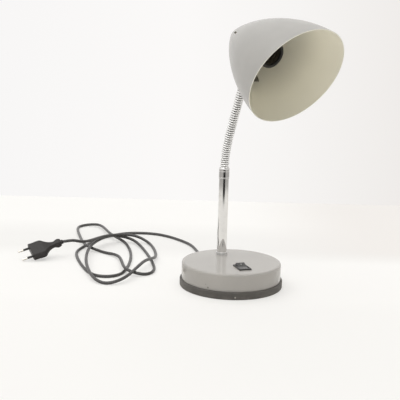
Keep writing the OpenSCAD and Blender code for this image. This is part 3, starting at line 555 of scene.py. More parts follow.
def rounded_loop(half_x, half_y, corner, height, steps=6):
    """Ring of points round a rectangle with round corners: a quarter circle at each corner."""
    angle = np.radians(np.linspace(0, 90, steps + 1))[None] + np.radians([0, 90, 180, 270])[:, None]
    signs = np.array([[1, 1], [-1, 1], [-1, -1], [1, -1]])[:, None]
    centres = signs * np.array([half_x - corner, half_y - corner])
    ring = centres + corner * np.stack([np.cos(angle), np.sin(angle)], -1)
    return np.concatenate([ring.reshape(-1, 2), np.full((4 * (steps + 1), 1), height)], 1)


# ---------------------------------------------------------------- cord, strain relief and plug

CORD_D, CORD_LENGTH = 5.0, 2445.0
RELIEF_START, RELIEF_LEN = 77.0, 28.0
RELIEF_END = RELIEF_START + RELIEF_LEN
cord_knots = np.array([
    [0, RELIEF_END, ENTRY_Z],
    [0, 124, 17.5], [8, 172, 4], [12, 249, 2.7], [-18, 325, 2.5], [-72, 350, 2.5],
    [-127, 325, 2.5], [-168, 276, 2.5], [-195, 222, 2.5], [-198, 118, 2.5], [-180, 81, 2.5],
    [-146, 93, 2.5], [-111, 179, 2.7], [-97, 272, 2.9], [-111, 329, 7.8], [-115, 420, 5.1],
    [-153, 422, 2.5], [-168, 330, 5.3], [-171, 256, 8.1], [-150, 227, 2.6], [-132, 182, 5.3],
    [-140, 95, 8.1], [-115, 76, 2.9], [-91, 106, 2.9], [-77, 218, 2.8], [-84, 286, 7.1],
    [-121, 293, 13.3], [-164, 243, 11.9], [-191, 158, 10], [-198, 75, 6.3], [-183, 45, 2.5],
    [-152, 51, 7.8], [-106, 113, 13.1], [-70, 172, 4.5], [-56, 259, 3.1], [-79, 290, 12.6],
    [-127, 282, 16.8], [-176, 233, 21],
])
PLUG_LEN = 56.0
plug_tail = at_plug.put((0, 0, -PLUG_LEN))
cord_knots = np.concatenate([cord_knots, [plug_tail + (17.4, 2.5, 0.4), plug_tail]])
cord_line = smooth_line(cord_knots, 10)


def cord_skin(sides=14):
    """The cord's tube. Its points store the metres along the line, and how far round they are: from 1
    at the circle's start to 0 on the side opposite."""
    steps = np.linalg.norm(np.diff(cord_line, axis=0), axis=1)
    run = np.pad(np.concatenate([[0], np.cumsum(steps)]), 1, "edge")[:, None] * MM
    around = np.abs(np.linspace(-1, 1, sides, endpoint=False))
    return Skin().grid(carried(cord_line, CORD_D / 2, sides), along=run, around=around)


cord = cord_skin().piece("mains_cord", "cord_sheath", "root", ["cord"])

RELIEF_ROOT, RELIEF_TIP = 4.7, 3.4
# Ribs along the taper, and the middle of the groove after each as a share of their spacing
RIBS, GROOVE_AT, GROOVE_DEPTH = 6, 0.2, 0.8
FLANGE_R, HOLE_R, INNER_HEAD_R, INNER_HEAD_AT = 6.3, 4.4, 5.9, 70.8


def relief_outline():
    """Inner head, neck in the shell's wall, flange, and a taper with a rounded groove after each
    rib."""
    wall_in, wall_out = BASE_R - BASE_SHEET - 0.4, BASE_R + 0.1
    along = np.linspace(0, RELIEF_LEN, 140)
    phase = along / RELIEF_LEN * (RIBS + 0.5)
    grooved = (phase > 1 - GROOVE_AT) & (phase < RIBS - GROOVE_AT)
    groove = grooved * np.clip(1.6 * np.cos(2 * np.pi * (phase - GROOVE_AT)) + 0.1, 0, 1)
    radius = RELIEF_ROOT + (RELIEF_TIP - RELIEF_ROOT) * along / RELIEF_LEN - GROOVE_DEPTH * groove
    head = soften([
        (0, INNER_HEAD_AT, 0), (INNER_HEAD_R, INNER_HEAD_AT, 0.8), (INNER_HEAD_R, wall_in, 0.5),
        (HOLE_R, wall_in, 0.2), (HOLE_R, wall_out, 0.2), (FLANGE_R, wall_out, 0.6),
        (FLANGE_R, RELIEF_START, 0.8), (RELIEF_ROOT + 0.2, RELIEF_START, 0.3),
    ])
    return np.concatenate([head, np.stack([radius, RELIEF_START + along], 1), [[0, RELIEF_END]]])


Skin().grid(revolve(relief_outline(), at_relief, 48)).piece(
    "cord_strain_relief", "black_plastic", "root", ["strain_relief"])

PLUG_HALF_W, PLUG_HALF_T, PLUG_FLAT_W, PLUG_FLAT_T = 17.65, 6.85, 12.65, 2.6
# From the plug's face back: place along it, half width, half thickness, share of the flat section
plug_stations = np.array([
    [0, 15.6, 5.6, 1], [-0.5, 16.9, 6.35, 1], [-1.6, 17.2, 6.5, 1], [-6.0, 17.25, 6.5, 1],
    [-10.6, 17.3, 6.5, 1], [-11.2, 17.62, 6.82, 1], [-16.0, 17.65, 6.85, 1], [-20.0, 17.5, 6.8, 1],
    [-22.5, 16.0, 6.7, 0.95], [-26.0, 12.2, 6.35, 0.8], [-30.0, 8.9, 5.9, 0.55], [-34.0, 6.8, 5.4, 0.3],
    [-38.0, 5.7, 5.1, 0.1], [-41.0, 5.6, 5.3, 0], [-43.5, 6.5, 6.4, 0], [-46.0, 7.35, 7.3, 0],
    [-48.4, 7.4, 7.35, 0], [-49.4, 6.9, 6.9, 0], [-50.2, 6.85, 6.85, 0], [-51.6, 6.3, 6.3, 0],
    [-52.8, 4.4, 4.4, 0], [-53.4, 3.75, 3.75, 0], [-PLUG_LEN, 3.55, 3.55, 0],
])


def plug_grid():
    """Sections along the plug: a share of a flat eight-cornered outline and the rest an ellipse."""
    stations = smooth_line(plug_stations[:, :3], 4)
    flat_share = np.interp(-stations[:, 0], -plug_stations[:, 0], plug_stations[:, 3])[:, None, None]
    half = [(-PLUG_HALF_W, -PLUG_FLAT_T, 1.2), (-PLUG_FLAT_W, -PLUG_HALF_T, 1.6),
            (PLUG_FLAT_W, -PLUG_HALF_T, 1.6), (PLUG_HALF_W, -PLUG_FLAT_T, 1.2)]
    outline = soften(half + [(-x, -y, reach) for x, y, reach in half], 7)
    flat = outline / (PLUG_HALF_W, PLUG_HALF_T)
    angle = np.arctan2(flat[:, 1], flat[:, 0])
    ellipse = np.stack([np.cos(angle), np.sin(angle)], -1)
    section = flat_share * flat + (1 - flat_share) * ellipse
    points = raised(section * stations[:, None, 1:3], stations[:, None, :1])
    ends = points[[0, -1]] * (0, 0, 1)
    return at_plug.put(np.concatenate([ends[:1], points, ends[1:]]))


plug = Skin().grid(plug_grid()).piece(
    "plug_moulding", "plug_plastic", "root", ["plug_body"], "black_plastic", sharp=35)

PIN_GAP, PIN_R, PIN_LEN, PIN_ROOT = 19.0, 2.0, 19.0, -8.0
SLEEVE_BORE_R, SLEEVE_R, SLEEVE_LEN = 1.5, 1.9, 10.0
pin_outline = soften([
    (0, PIN_ROOT, 0), (SLEEVE_BORE_R, PIN_ROOT, 0), (SLEEVE_BORE_R, SLEEVE_LEN, 0),
    (PIN_R, SLEEVE_LEN, 0.1), (PIN_R, PIN_LEN, 1.9), (0, PIN_LEN, 0),
], 6)
sleeve_outline = soften([
    (SLEEVE_BORE_R, 0, 0), (SLEEVE_R, 0, 0),
    (SLEEVE_R, SLEEVE_LEN, 0.15), (SLEEVE_BORE_R, SLEEVE_LEN, 0),
])
pins, sleeves = Skin(), Skin()
for side in (-PIN_GAP / 2, PIN_GAP / 2):
    place = at_plug.then((side, 0, 0))
    pins.grid(revolve(pin_outline, place, 32))
    sleeves.grid(revolve(sleeve_outline, place, 32), wrap_rows=True)
plug_pins = pins.piece("plug_contact_pins", "pin_plate", "root", ["plug_pins"], "brass")
plug_sleeves = sleeves.piece("plug_pin_sleeves", "black_plastic", "root", ["plug_sleeves"])

# ---------------------------------------------------------------- base

SWITCH_HOLE = np.array([8.5, 13.25])


def shell_face(inset):
    """One face of the base shell, an inset inside its outer face, as rings of points on rays from the
    switch: flat from the switch's hole to the edge, a quarter round, and down the wall."""
    radius, top, edge = BASE_R - inset, BASE_TOP - inset, BASE_EDGE - inset
    angle = np.linspace(0, 2 * np.pi, 288, endpoint=False)
    ray = np.stack([np.cos(angle), np.sin(angle)], 1)
    hole = ray * np.min(SWITCH_HOLE / np.maximum(np.abs(ray), TINY), axis=1, keepdims=True)
    centre = at_switch.origin[:2]
    along = ray @ centre
    rim = centre + ray * (np.sqrt(along**2 - centre @ centre + (radius - edge) ** 2) - along)[:, None]
    share = np.append(np.linspace(0, 0.985, 12) ** 1.3, 1)[:, None, None]
    flat = (centre + hole) * (1 - share) + rim * share
    outward = rim / np.linalg.norm(rim, axis=1, keepdims=True)
    tilt = np.radians(np.linspace(0, 90, 9))[1:, None, None]
    bend = outward * (radius - edge + edge * np.sin(tilt))
    wall_z = np.append(top - edge - 0.4, np.linspace(top - edge - 2, BASE_FOOT, 8))[:, None, None]
    wall = np.broadcast_to(outward * radius, (9,) + outward.shape)
    return np.concatenate([
        raised(flat, top), raised(bend, top - edge * (1 - np.cos(tilt))), raised(wall, wall_z)])


Skin().grid(np.concatenate([shell_face(0), shell_face(BASE_SHEET)[::-1]]), wrap_rows=True).piece(
    "painted_base_shell", "base_paint", "root", ["base_shell"], sharp=50)

RING_R, RING_H, RING_INNER_R = 77.6, 11.5, 70.4
# The ring holds the shell's edge in a channel between an inner rib and its outer wall
CHANNEL_R, RIB_R, RIB_H = BASE_R + 0.1, 73.7, 7.0
turned("foot_ring_moulding", "ring_rubber", at_base, [
    (RING_INNER_R, 0, 0.3), (RING_R - 1, 0, 0.4), (RING_R, 1, 0.5), (RING_R, RING_H - 1.2, 0.6),
    (RING_R - 0.8, RING_H, 0.5), (CHANNEL_R, RING_H, 0.2), (CHANNEL_R, BASE_FOOT, 0.1),
    (RIB_R, BASE_FOOT, 0.1), (RIB_R, RIB_H, 0.2), (RIB_R - 1.6, RIB_H, 0.2), (RIB_R - 1.6, 2, 0.2),
    (RING_INNER_R, 2, 0.2),
], "root", "foot_ring", 224)

# ---------------------------------------------------------------- switch

# Half sizes of the bezel's outline and of the rocker's well
BEZEL, WELL = np.array([9.5, 14.25]), np.array([7.1, 11.7])
HOUSING_FOOT, WELL_FLOOR, BEZEL_TOP = 22.0, 28.2, BASE_TOP + 2


def bezel_grid():
    """Rounded rectangles, closed to a point at both ends: up the housing's wall, over the bevelled
    rim and down the rocker's well."""
    loops = [rounded_loop(0, 0, 0, HOUSING_FOOT)]
    for inset, corner, height in (
            (1.2, 0.6, HOUSING_FOOT), (1.1, 0.6, BASE_TOP - 0.1), (0.15, 0.8, BASE_TOP + 0.02),
            (0, 0.8, BASE_TOP + 0.2), (0, 0.8, BEZEL_TOP - 0.9), (0.15, 0.8, BEZEL_TOP - 0.4),
            (0.6, 0.7, BEZEL_TOP - 0.05), (0.9, 0.6, BEZEL_TOP)):
        loops.append(rounded_loop(*(BEZEL - inset), corner, height))
    for gap, height in (
            (0.4, BEZEL_TOP), (0.1, BEZEL_TOP - 0.15), (0, BEZEL_TOP - 0.6), (0, WELL_FLOOR)):
        loops.append(rounded_loop(*(WELL + gap), 0.4, height))
    loops.append(rounded_loop(0, 0, 0, WELL_FLOOR))
    return at_switch.put(np.stack(loops))


Skin().grid(bezel_grid()).piece("switch_bezel", "black_plastic", "root", ["switch_housing"], sharp=35)

ROCKER_PIN_Z, ROCKER_TILT, ROCKER_HALF_W = 36.0, 11.0, 6.8
at_rocker = at_switch.then((0, 0, ROCKER_PIN_Z), turn("x", ROCKER_TILT))
# The rocker's face is a shallow V, from the middle's height up by the rise at its two ends
FACE_MIDDLE, FACE_RISE, FACE_HALF = 2.4, 1.9, 10.75
FACE_END = FACE_MIDDLE + FACE_RISE
rocker_outline = soften([
    (-FACE_HALF, FACE_END, 0.5), (0, FACE_MIDDLE, 2.5), (FACE_HALF, FACE_END, 0.5), (11.35, 0.5, 2),
    (11.0, -2.4, 0.6), (3.6, -6, 0.6), (-3.6, -6, 0.6), (-11.0, -2.4, 0.6), (-11.35, 0.5, 2),
], 5)


def rocker_grid():
    """The rocker's side view carried across it, drawn in by a radius towards each side, and to one
    point at the sides themselves."""
    across = ROCKER_HALF_W - np.array([0, 0, 0.15, 0.5])
    drawn_in = np.array([0, 0.35, 0.1, 0])
    across = np.concatenate([-across, across[::-1]])[:, None, None]
    middle, size = np.array([0, 0.5]), np.array([11.3, 5.0])
    share = np.concatenate([drawn_in, drawn_in[::-1]])[:, None, None] / size
    share[[0, -1]] = 1
    side_view = rocker_outline - (rocker_outline - middle) * share
    return raised(side_view, across)[..., [2, 0, 1]]


def on_rocker(y):
    """Place on the rocker's face at a distance from its middle, with the face's own tilt."""
    tilt = math.degrees(math.atan2(FACE_RISE, FACE_HALF)) * (1 if y > 0 else -1)
    return at_rocker.then((0, y, FACE_MIDDLE + FACE_RISE * abs(y) / FACE_HALF), turn("x", tilt))


def ring_grid(half_x, half_y, half_width, half_height, steps=32, sides=8):
    """An ellipse thickened to a tube of elliptic section: the off mark."""
    angle = np.linspace(0, 2 * np.pi, steps, endpoint=False)
    line = np.stack([half_x * np.cos(angle), half_y * np.sin(angle), 0 * angle], -1)
    outward = line / np.linalg.norm(line, axis=1, keepdims=True)
    around = np.linspace(0, 2 * np.pi, sides, endpoint=False)[None, :, None]
    lift = half_height * np.sin(around) * np.array([0, 0, 1])
    return line[:, None] + half_width * np.cos(around) * outward[:, None] + lift


def bar_grid():
    """A bar with rounded corners and a bevelled top: the on mark."""
    return np.stack([
        rounded_loop(0, 0, 0, -0.1), rounded_loop(0.35, 1.6, 0.2, -0.1),
        rounded_loop(0.35, 1.6, 0.2, 0.08), rounded_loop(0.25, 1.5, 0.15, 0.16),
        rounded_loop(0, 0, 0, 0.16)])


Skin().grid(at_rocker.put(rocker_grid())).piece(
    "switch_rocker_cap", "rocker_plastic", "rocker", ["switch_rocker"], "black_plastic", sharp=30)
marks = Skin().grid(on_rocker(6.8).put(ring_grid(1.15, 1.5, 0.28, 0.16)), wrap_rows=True)
marks.grid(on_rocker(-6.4).put(bar_grid()))
marks.piece("switch_marks", "mark_paint", "rocker", slot="black_plastic")

# ---------------------------------------------------------------- pole and collar

turned("chrome_pole", "chrome", at_pole, [
    (POLE_BORE_R, BASE_TOP, 0), (POLE_R, BASE_TOP, 0),
    (POLE_R, POLE_TOP, 0.2), (POLE_BORE_R, POLE_TOP, 0),
], "root", "pole_tube", 72)

# The foot ring and the collar slip over the pole
SLIP_R = POLE_R + 0.02
FOOT_R, FOOT_TOP = 8.9, BASE_TOP + 4
turned("pole_foot_ring", "satin_steel", at_pole, [
    (SLIP_R, BASE_TOP, 0), (FOOT_R, BASE_TOP, 0.1), (FOOT_R, FOOT_TOP, 0.35), (SLIP_R, FOOT_TOP, 0.1),
], "root", "pole_foot", 72, "chrome")

COLLAR_R, COLLAR_FOOT, COLLAR_TOP, COLLAR_MOUTH_R = 8.2, 156.5, 173.4, 7.1
COLLAR_FLOOR, COLLAR_HOLE_R = 167.4, 3.0
GROOVE_R, GROOVES = 7.78, (157.9, 167.8)


def collar_corners():
    """Outer wall with its two grooves, a rounded top, the mouth for the neck, and a floor that rests
    on the pole's end."""
    corners = [(SLIP_R, COLLAR_FOOT, 0.1), (COLLAR_R, COLLAR_FOOT, 0.25)]
    for z in GROOVES:
        corners += [(COLLAR_R, z, 0.15), (GROOVE_R, z + 0.2, 0.12), (GROOVE_R, z + 0.8, 0.12),
                    (COLLAR_R, z + 1, 0.15)]
    return corners + [
        (COLLAR_R, COLLAR_TOP - 1, 1.1), (POLE_R, COLLAR_TOP, 0.5), (COLLAR_MOUTH_R, COLLAR_TOP, 0.15),
        (COLLAR_MOUTH_R, COLLAR_FLOOR, 0.1), (COLLAR_HOLE_R, COLLAR_FLOOR, 0.1),
        (COLLAR_HOLE_R, POLE_TOP, 0.1), (SLIP_R, POLE_TOP, 0.1)]


turned("neck_collar", "chrome", at_pole, collar_corners(), "root", "collar", 72)

# ---------------------------------------------------------------- neck

COIL_R, WIRE_R, PITCH, STEPS_PER_TURN = 5.83, 1.17, 3.0, 30
wire_angle = np.linspace(0, 2 * np.pi, 10, endpoint=False)
wire_section = np.stack([COIL_R + WIRE_R * np.cos(wire_angle), WIRE_R * np.sin(wire_angle)], -1)
# The wedge's edge points outwards, between the round wire's turns
wedge_section = np.array([[5.7, 0], [3.5, 1.15], [3.5, -1.15]])
neck_side = at_neck.rotation[:, 0]
# The turns open by this share where the neck leans most
COIL_OPENING = 0.22


def coil_turns():
    """Distances from the neck's foot, and the turns made up to them: the sum of 1 / pitch."""
    margin = 5
    s = np.linspace(-margin, LINKS * LINK_LEN + margin, 2000)
    leaning = np.interp(s, LINK_LEN * (np.arange(LINKS) + 0.5), leans[1:]) / leans[-1]
    return s, np.cumsum(1 / (PITCH * (1 + COIL_OPENING * leaning))) * (s[1] - s[0])


coil_along, turns_made = coil_turns()


def neck_frame(s):
    """Middle line and heading of the neck at distances from its foot. Each piece is the quadratic
    curve from join to join with its hinge as the middle control point."""
    k = np.clip(np.floor(s / LINK_LEN).astype(int), 0, LINKS - 1)
    t = (s / LINK_LEN - k)[:, None]
    a, b, c = joins[k], hinges[k], joins[k + 1]
    middle = (1 - t) ** 2 * a + 2 * t * (1 - t) * b + t * t * c
    heading = (1 - t) * (b - a) + t * (c - b)
    heading /= np.linalg.norm(heading, axis=1, keepdims=True)

    def upright(plane):
        return np.stack([0 * plane[:, 0], -plane[:, 0], plane[:, 1]], -1)

    return at_neck.put(upright(middle)), upright(heading) @ at_neck.rotation.T


def coil(section, start, stop, lag):
    """A section of (radius, rise) points carried up a helix that follows the neck's middle line,
    from one distance to another; lag is the share of a turn by which it follows the round wire."""
    s = np.linspace(start, stop, int((stop - start) / PITCH * STEPS_PER_TURN))
    middle, heading = neck_frame(s)
    fore = np.cross(heading, neck_side)
    phase = 2 * np.pi * (np.interp(s, coil_along, turns_made) - lag)[:, None]
    outward = np.cos(phase) * neck_side + np.sin(phase) * fore
    rings = middle[:, None] + outward[:, None] * section[:, :1] + heading[:, None] * section[:, 1:]
    ends = np.repeat(rings[[0, -1]].mean(1, keepdims=True), len(section), 1)
    return np.concatenate([ends[:1], rings, ends[1:]])


COIL_FOOT, COIL_HEAD_GAP, LEAD_R = -2.2, 1.4, 2.5
numbers = [f"{k:02d}" for k in range(1, LINKS + 1)]
nodes = ["neck_root"] + ["neck_link_" + number for number in numbers[:-1]]
for k, number in enumerate(numbers):
    foot, top = k * LINK_LEN, (k + 1) * LINK_LEN
    low = COIL_FOOT if k == 0 else foot
    high = top - COIL_HEAD_GAP if k == LINKS - 1 else top
    wire = Skin().grid(coil(wire_section, low, high, 0))
    wedge = Skin().grid(coil(wedge_section, low, high, 0.5))
    lead = Skin().grid(carried(neck_frame(np.linspace(foot, top, 9))[0], LEAD_R, 16, neck_side))
    wire = wire.piece("neck_coil_" + number, "coil_wire", slot="chrome", sharp=50)
    wedge = wedge.piece("neck_wedge_" + number, "satin_steel", slot="chrome", sharp=30)
    lead = lead.piece("neck_lead_" + number, "lead_sheath", slot="cord_sheath")
    # Just short of the join above, which belongs to the next stretch
    start, stop = neck_frame(np.array([k, k + 0.9999]) * LINK_LEN)[0] * MM
    for made in (wire, wedge, lead):
        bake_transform(made)
    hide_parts(nodes[k], *(["neck_tip"] if k == LINKS - 1 else []))

# ---------------------------------------------------------------- shade

SHADE_LEN, MOUTH_R, NOSE_R, SHEET = 169.0, 76.8, 16.5, 1.2
NOSE_SLOPE, WAIST_SLOPE = math.radians(41), math.radians(17.5)
MOUTH_TILT, MOUTH_AT, LIP = math.radians(11.6), 143.0, 0.4
SEAT_FLAT, SEAT_REACH = 12.6, 17.0
VENTS, VENT_AT, VENT_TURN, VENT_L, VENT_W = 4, 31.0, 58.0, 14.0, 3.0
VENT_FROM, VENT_TO = 12.0, 60.0
# How strongly the bell's columns crowd round its seat and its rows towards both ends, and the share
# of the way to the mouth at which one more row holds the edge flat
SEAT_CROWDING, END_CROWDING, EDGE_ROW = 0.55, 0.042, 0.9965


def bell_arcs():
    """Middle and radius of the bell's nose, back and front arcs, as (radius, distance from the nose).
    An arc between two slopes adds its radius times the change of their sines to the length and of
    their cosines to the width, which gives the back and front radii that reach the mouth."""
    sines = np.sin([NOSE_SLOPE, WAIST_SLOPE, 0])
    cosines = np.cos([NOSE_SLOPE, WAIST_SLOPE, 0])
    nose_end = NOSE_R * (1 - sines[0])
    goal = (SHADE_LEN - nose_end, MOUTH_R - NOSE_R * cosines[0])
    back, front = np.linalg.solve([-np.diff(sines), np.diff(cosines)], goal)
    back_middle = ((NOSE_R - back) * cosines[0], nose_end + back * sines[0])
    return ((0, NOSE_R), NOSE_R), (back_middle, back), ((MOUTH_R - front, SHADE_LEN), front)


def bell_outline(inset):
    """Half outline of the bell as (radius, distance from the nose): three tangent arcs whose normal
    turns from the nose's axis to square with it, all the given distance inside the outer face."""
    slopes = (math.pi / 2, NOSE_SLOPE, WAIST_SLOPE, 0)
    parts = []
    for (middle, radius), first, last in zip(bell_arcs(), slopes, slopes[1:]):
        slope = np.linspace(first, last, 400)
        normal = np.stack([np.cos(slope), -np.sin(slope)], 1)
        parts.append(middle + (radius - inset) * normal)
    return np.concatenate(parts)


seat_drop = np.interp(SEAT_AT, *bell_outline(0)[:, ::-1].T)
at_shade = at_head.then((0, SEAT_AT, seat_drop), turn("x", 90))
at_holder = at_shade.then((0, HOLDER_RISE, 0))


def bell_sheet(inset, shares, angle):
    """One face of the bell's sheet, in the shade's axes: rows run from the nose to the tilted mouth,
    and the face is drawn flat over the neck's seat, with a smooth step of its height round it."""
    outline = bell_outline(inset)
    length = np.concatenate([[0], np.cumsum(np.linalg.norm(np.diff(outline, axis=0), axis=1))])
    forward = math.cos(MOUTH_TILT) * outline[:, None, 1]
    over = forward - math.sin(MOUTH_TILT) * outline[:, None, 0] * np.sin(angle) - (MOUTH_AT - LIP)
    after = np.argmax(over > 0, axis=0)
    columns = np.arange(len(angle))
    part = -over[after - 1, columns] / (over[after, columns] - over[after - 1, columns])
    reach = length[after - 1] + part * (length[after] - length[after - 1])
    run = shares[:, None] * reach
    radius, along = np.interp(run, length, outline[:, 0]), np.interp(run, length, outline[:, 1])
    x, y, z = radius * np.cos(angle), radius * np.sin(angle), along
    from_seat = np.hypot(x, z - SEAT_AT)
    t = np.clip((SEAT_REACH - from_seat) / (SEAT_REACH - SEAT_FLAT), 0, 1)
    flat = t * t * (3 - 2 * t) * (y < 0)
    return np.stack([x, y * (1 - flat) + (inset - seat_drop) * flat, z], -1)


def bell_grid():
    """Outer face from nose to mouth, a half-round lip, and the inner face back to the nose, with the
    shares of inside and rim. Columns lie closer together round the seat, which is at the bell's
    underside, and rows towards the nose and the mouth."""
    u = np.linspace(0, 1, 240, endpoint=False)
    angle = 2 * np.pi * u - np.pi / 2 - SEAT_CROWDING * np.sin(2 * np.pi * u)
    shares = np.linspace(0, 1, 120)
    shares = np.insert(shares - END_CROWDING * np.sin(2 * np.pi * shares), -1, EDGE_ROW)
    outer, inner = bell_sheet(0, shares, angle), bell_sheet(SHEET, shares, angle)
    over = np.linspace(0, np.pi, 7)[1:-1, None, None]
    forward = LIP * np.array([0, -math.sin(MOUTH_TILT), math.cos(MOUTH_TILT)])
    middle, half = (outer[-1] + inner[-1]) / 2, (outer[-1] - inner[-1]) / 2
    lip = middle + half * np.cos(over) + forward * np.sin(over)
    rows = np.concatenate([outer, lip, inner[::-1]])
    inside = np.repeat([0, 0.5, 1], [len(outer), len(lip), len(inner)])
    rim = np.zeros(len(rows))
    rim[len(outer) - 1:len(outer) + len(lip) + 1] = 1
    return rows, inside[:, None], rim[:, None]


def vent_cutter():
    """Slots with round ends: each outline carried straight out from the bell's axis through its sheet,
    and closed to a point at both ends."""
    outline = rounded_loop(VENT_L / 2, VENT_W / 2, VENT_W / 2 - 0.01, 0, 8)
    cutter = Skin()
    for k in range(VENTS):
        place = at_shade.then((0, 0, VENT_AT), turn("z", VENT_TURN + 360 / VENTS * k) @ turn("y", 90))
        sections = ((0, VENT_FROM), (1, VENT_FROM), (1, VENT_TO), (0, VENT_TO))
        loops = [size * outline + (0, 0, out) for size, out in sections]
        cutter.grid(place.put(np.stack(loops)))
    return cutter.piece("vent_cutter", "shade_paint")


def cut_out(cutter, made):
    """Takes the cutter's shape out of a piece's mesh, and the cutter out of the scene."""
    cut = made.modifiers.new("cut", "BOOLEAN")
    cut.object, cut.operation, cut.solver = cutter, "DIFFERENCE", "EXACT"
    bpy.context.view_layer.update()
    evaluated = made.evaluated_get(bpy.context.evaluated_depsgraph_get())
    mesh = bpy.data.meshes.new_from_object(evaluated)
    made.modifiers.clear()
    made.data = mesh
    bpy.data.objects.remove(cutter)


rows, inside, rim = bell_grid()
bell = Skin().grid(at_shade.put(rows), inside=inside, rim=rim)
shade = bell.piece("bell_shade", "shade_paint", sharp=45)
cut_out(vent_cutter(), shade)
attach(shade, "head")
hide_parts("shade")

# ---------------------------------------------------------------- neck fitting and lamp holder

FERRULE_R, FERRULE_CUP_R, STUD_R, STUD_BORE_R, STUD_LEN = 8.1, 7.1, 5.0, 3.4, 11.4
turned("neck_end_ferrule", "zinc_steel", at_head, [
    (FERRULE_CUP_R, -5, 0.1), (FERRULE_R, -5, 0.5), (FERRULE_R, 0, 0.3), (STUD_R, 0, 0.1),
    (STUD_R, STUD_LEN, 0.4), (STUD_BORE_R, STUD_LEN, 0.2), (STUD_BORE_R, -2, 0.1),
    (FERRULE_CUP_R, -2, 0.1),
], "head", "neck_ferrule", 64)

HOLDER_LIP_R, HOLDER_R, HOLDER_BORE_R = 19.3, 18.3, 14.7
CAP_AT, CAP_BORE_R, SKIRT_AT, HOLDER_MOUTH = 38.2, 5.0, 57.2, 88.9
turned("holder_rear_cap", "black_bakelite", at_holder, [
    (CAP_BORE_R, CAP_AT, 0.2), (9.5, CAP_AT, 1.5), (17, CAP_AT + 2.6, 6.5), (HOLDER_R, CAP_AT + 11, 4),
    (HOLDER_R, SKIRT_AT, 0.3), (16.5, SKIRT_AT, 0.1), (16.5, CAP_AT + 9, 2), (12, CAP_AT + 6, 1),
    (CAP_BORE_R, CAP_AT + 6, 0.2),
], "head", "holder_cap")
turned("holder_front_skirt", "black_bakelite", at_holder, [
    (HOLDER_BORE_R, SKIRT_AT, 0.1), (HOLDER_R, SKIRT_AT, 0.4), (HOLDER_R, HOLDER_MOUTH - 6, 0.5),
    (HOLDER_LIP_R, HOLDER_MOUTH - 5, 0.7), (HOLDER_LIP_R, HOLDER_MOUTH - 0.9, 0.7),
    (HOLDER_LIP_R - 0.9, HOLDER_MOUTH, 0.7), (HOLDER_BORE_R + 0.6, HOLDER_MOUTH, 0.6),
    (HOLDER_BORE_R, HOLDER_MOUTH - 0.8, 0.5),
], "head", "holder_body")

SOCKET_R, SOCKET_WALL, SOCKET_LEN, CORE_FACE = 13.4, 0.5, 22.0, 64.0
# The thread's depth comes in over the first of its two run lengths, and goes out over the second
THREAD_PITCH, THREAD_DEPTH, THREAD_RUNS = 3.62, 0.45, (2.0, 1.5)


def screw_shell_grid():
    """Thin shell whose radius swings in and out once in each rise of the thread, outside and inside."""
    angle = np.linspace(0, 2 * np.pi, 72, endpoint=False)[None]
    height = np.linspace(0, SOCKET_LEN, 110)[:, None]
    run_in, run_out = THREAD_RUNS
    share = np.clip(height / run_in, 0, 1) * np.clip((SOCKET_LEN - height) / run_out, 0, 1)
    swing = THREAD_DEPTH * share * (0.5 - 0.5 * np.cos(2 * np.pi * height / THREAD_PITCH - angle))
    inner = SOCKET_R + 0.1 - swing
    radius = np.concatenate([inner + SOCKET_WALL, inner[::-1]])
    up = CORE_FACE + np.concatenate([height, height[::-1]]) + 0 * angle
    return at_holder.put(np.stack([radius * np.cos(angle), radius * np.sin(angle), up], -1))


# The screw shell's near-black finish is painted shade deep in the lamp holder
Skin().grid(screw_shell_grid(), wrap_rows=True).piece(
    "lamp_screw_shell", "brass_in_shade", "head", ["socket_shell"], "brass", sharp=60)

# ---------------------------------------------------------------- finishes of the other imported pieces

node_finish = {
    "iron": ["base_weight", "bottom_cover"],
    "zinc_steel": ["cover_screws", "spacer_posts", "base_washer", "clamp_screws"],
    # The bracket's darker finish is painted shade inside the bell
    "zinc_steel_in_shade": ["bracket"],
    "brass": ["switch_tabs", "pole_bush", "base_nipple", "base_nut", "neck_nut", "holder_nipple",
              "holder_nut", "centre_contact"],
    "ceramic": ["holder_core"],
    "black_plastic": ["cord_clamp"],
    "lead_sheath": ["head_lead", "base_lead", "switch_wires", "pole_lead"],
}
for finish, names in node_finish.items():
    for name in names:
        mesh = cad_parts[name].data
        mesh.materials.clear()
        mesh.materials.append(finishes[finish])

# ---------------------------------------------------------------- floor, backdrop and light


def stage_plane(name, corners, material):
    """A flat four-cornered face that isn't part of the lamp."""
    mesh = bpy.data.meshes.new(name)
    mesh.from_pydata(corners, [], [(0, 1, 2, 3)])
    mesh.materials.append(material)
    made = bpy.data.objects.new(name, mesh)
    bpy.context.scene.collection.objects.link(made)
    return made


def level_square(half, height):
    """Corners of a level square about the origin, in metres."""
    return [(-half, -half, height), (half, -half, height), (half, half, height), (-half, half, height)]


def ramp(finish, value, low, high, tones):
    """Colour at a value from low to high, between the tones given as (value, colour)."""
    span = high - low
    stops = [((at - low) / span, colour) for at, colour in tones]
    return finish.node("ValToRGB", {"stops": stops}, {"Fac": (value - low) * (1 / span)})["Color"]


away = np.array([-back[0], -back[1], 0]) / math.hypot(back[0], back[1])
across = level_right
# Share of the floor's own brightness in what is seen of it, so that shadows on it stay pale
SHADOW_LIFT = 0.52
FLOOR_TONE = (0.950, 0.937, 0.913)
# Bands of painted light and shade across the table, as (distance away, share of its tone)
FLOOR_LIGHT_BANDS = [(-0.35, 0.975), (-0.12, 0.985), (-0.06, 1.0), (0.14, 1.0), (0.21, 0.935), (0.30, 0.94),
               (0.42, 1.0), (0.62, 1.0)]


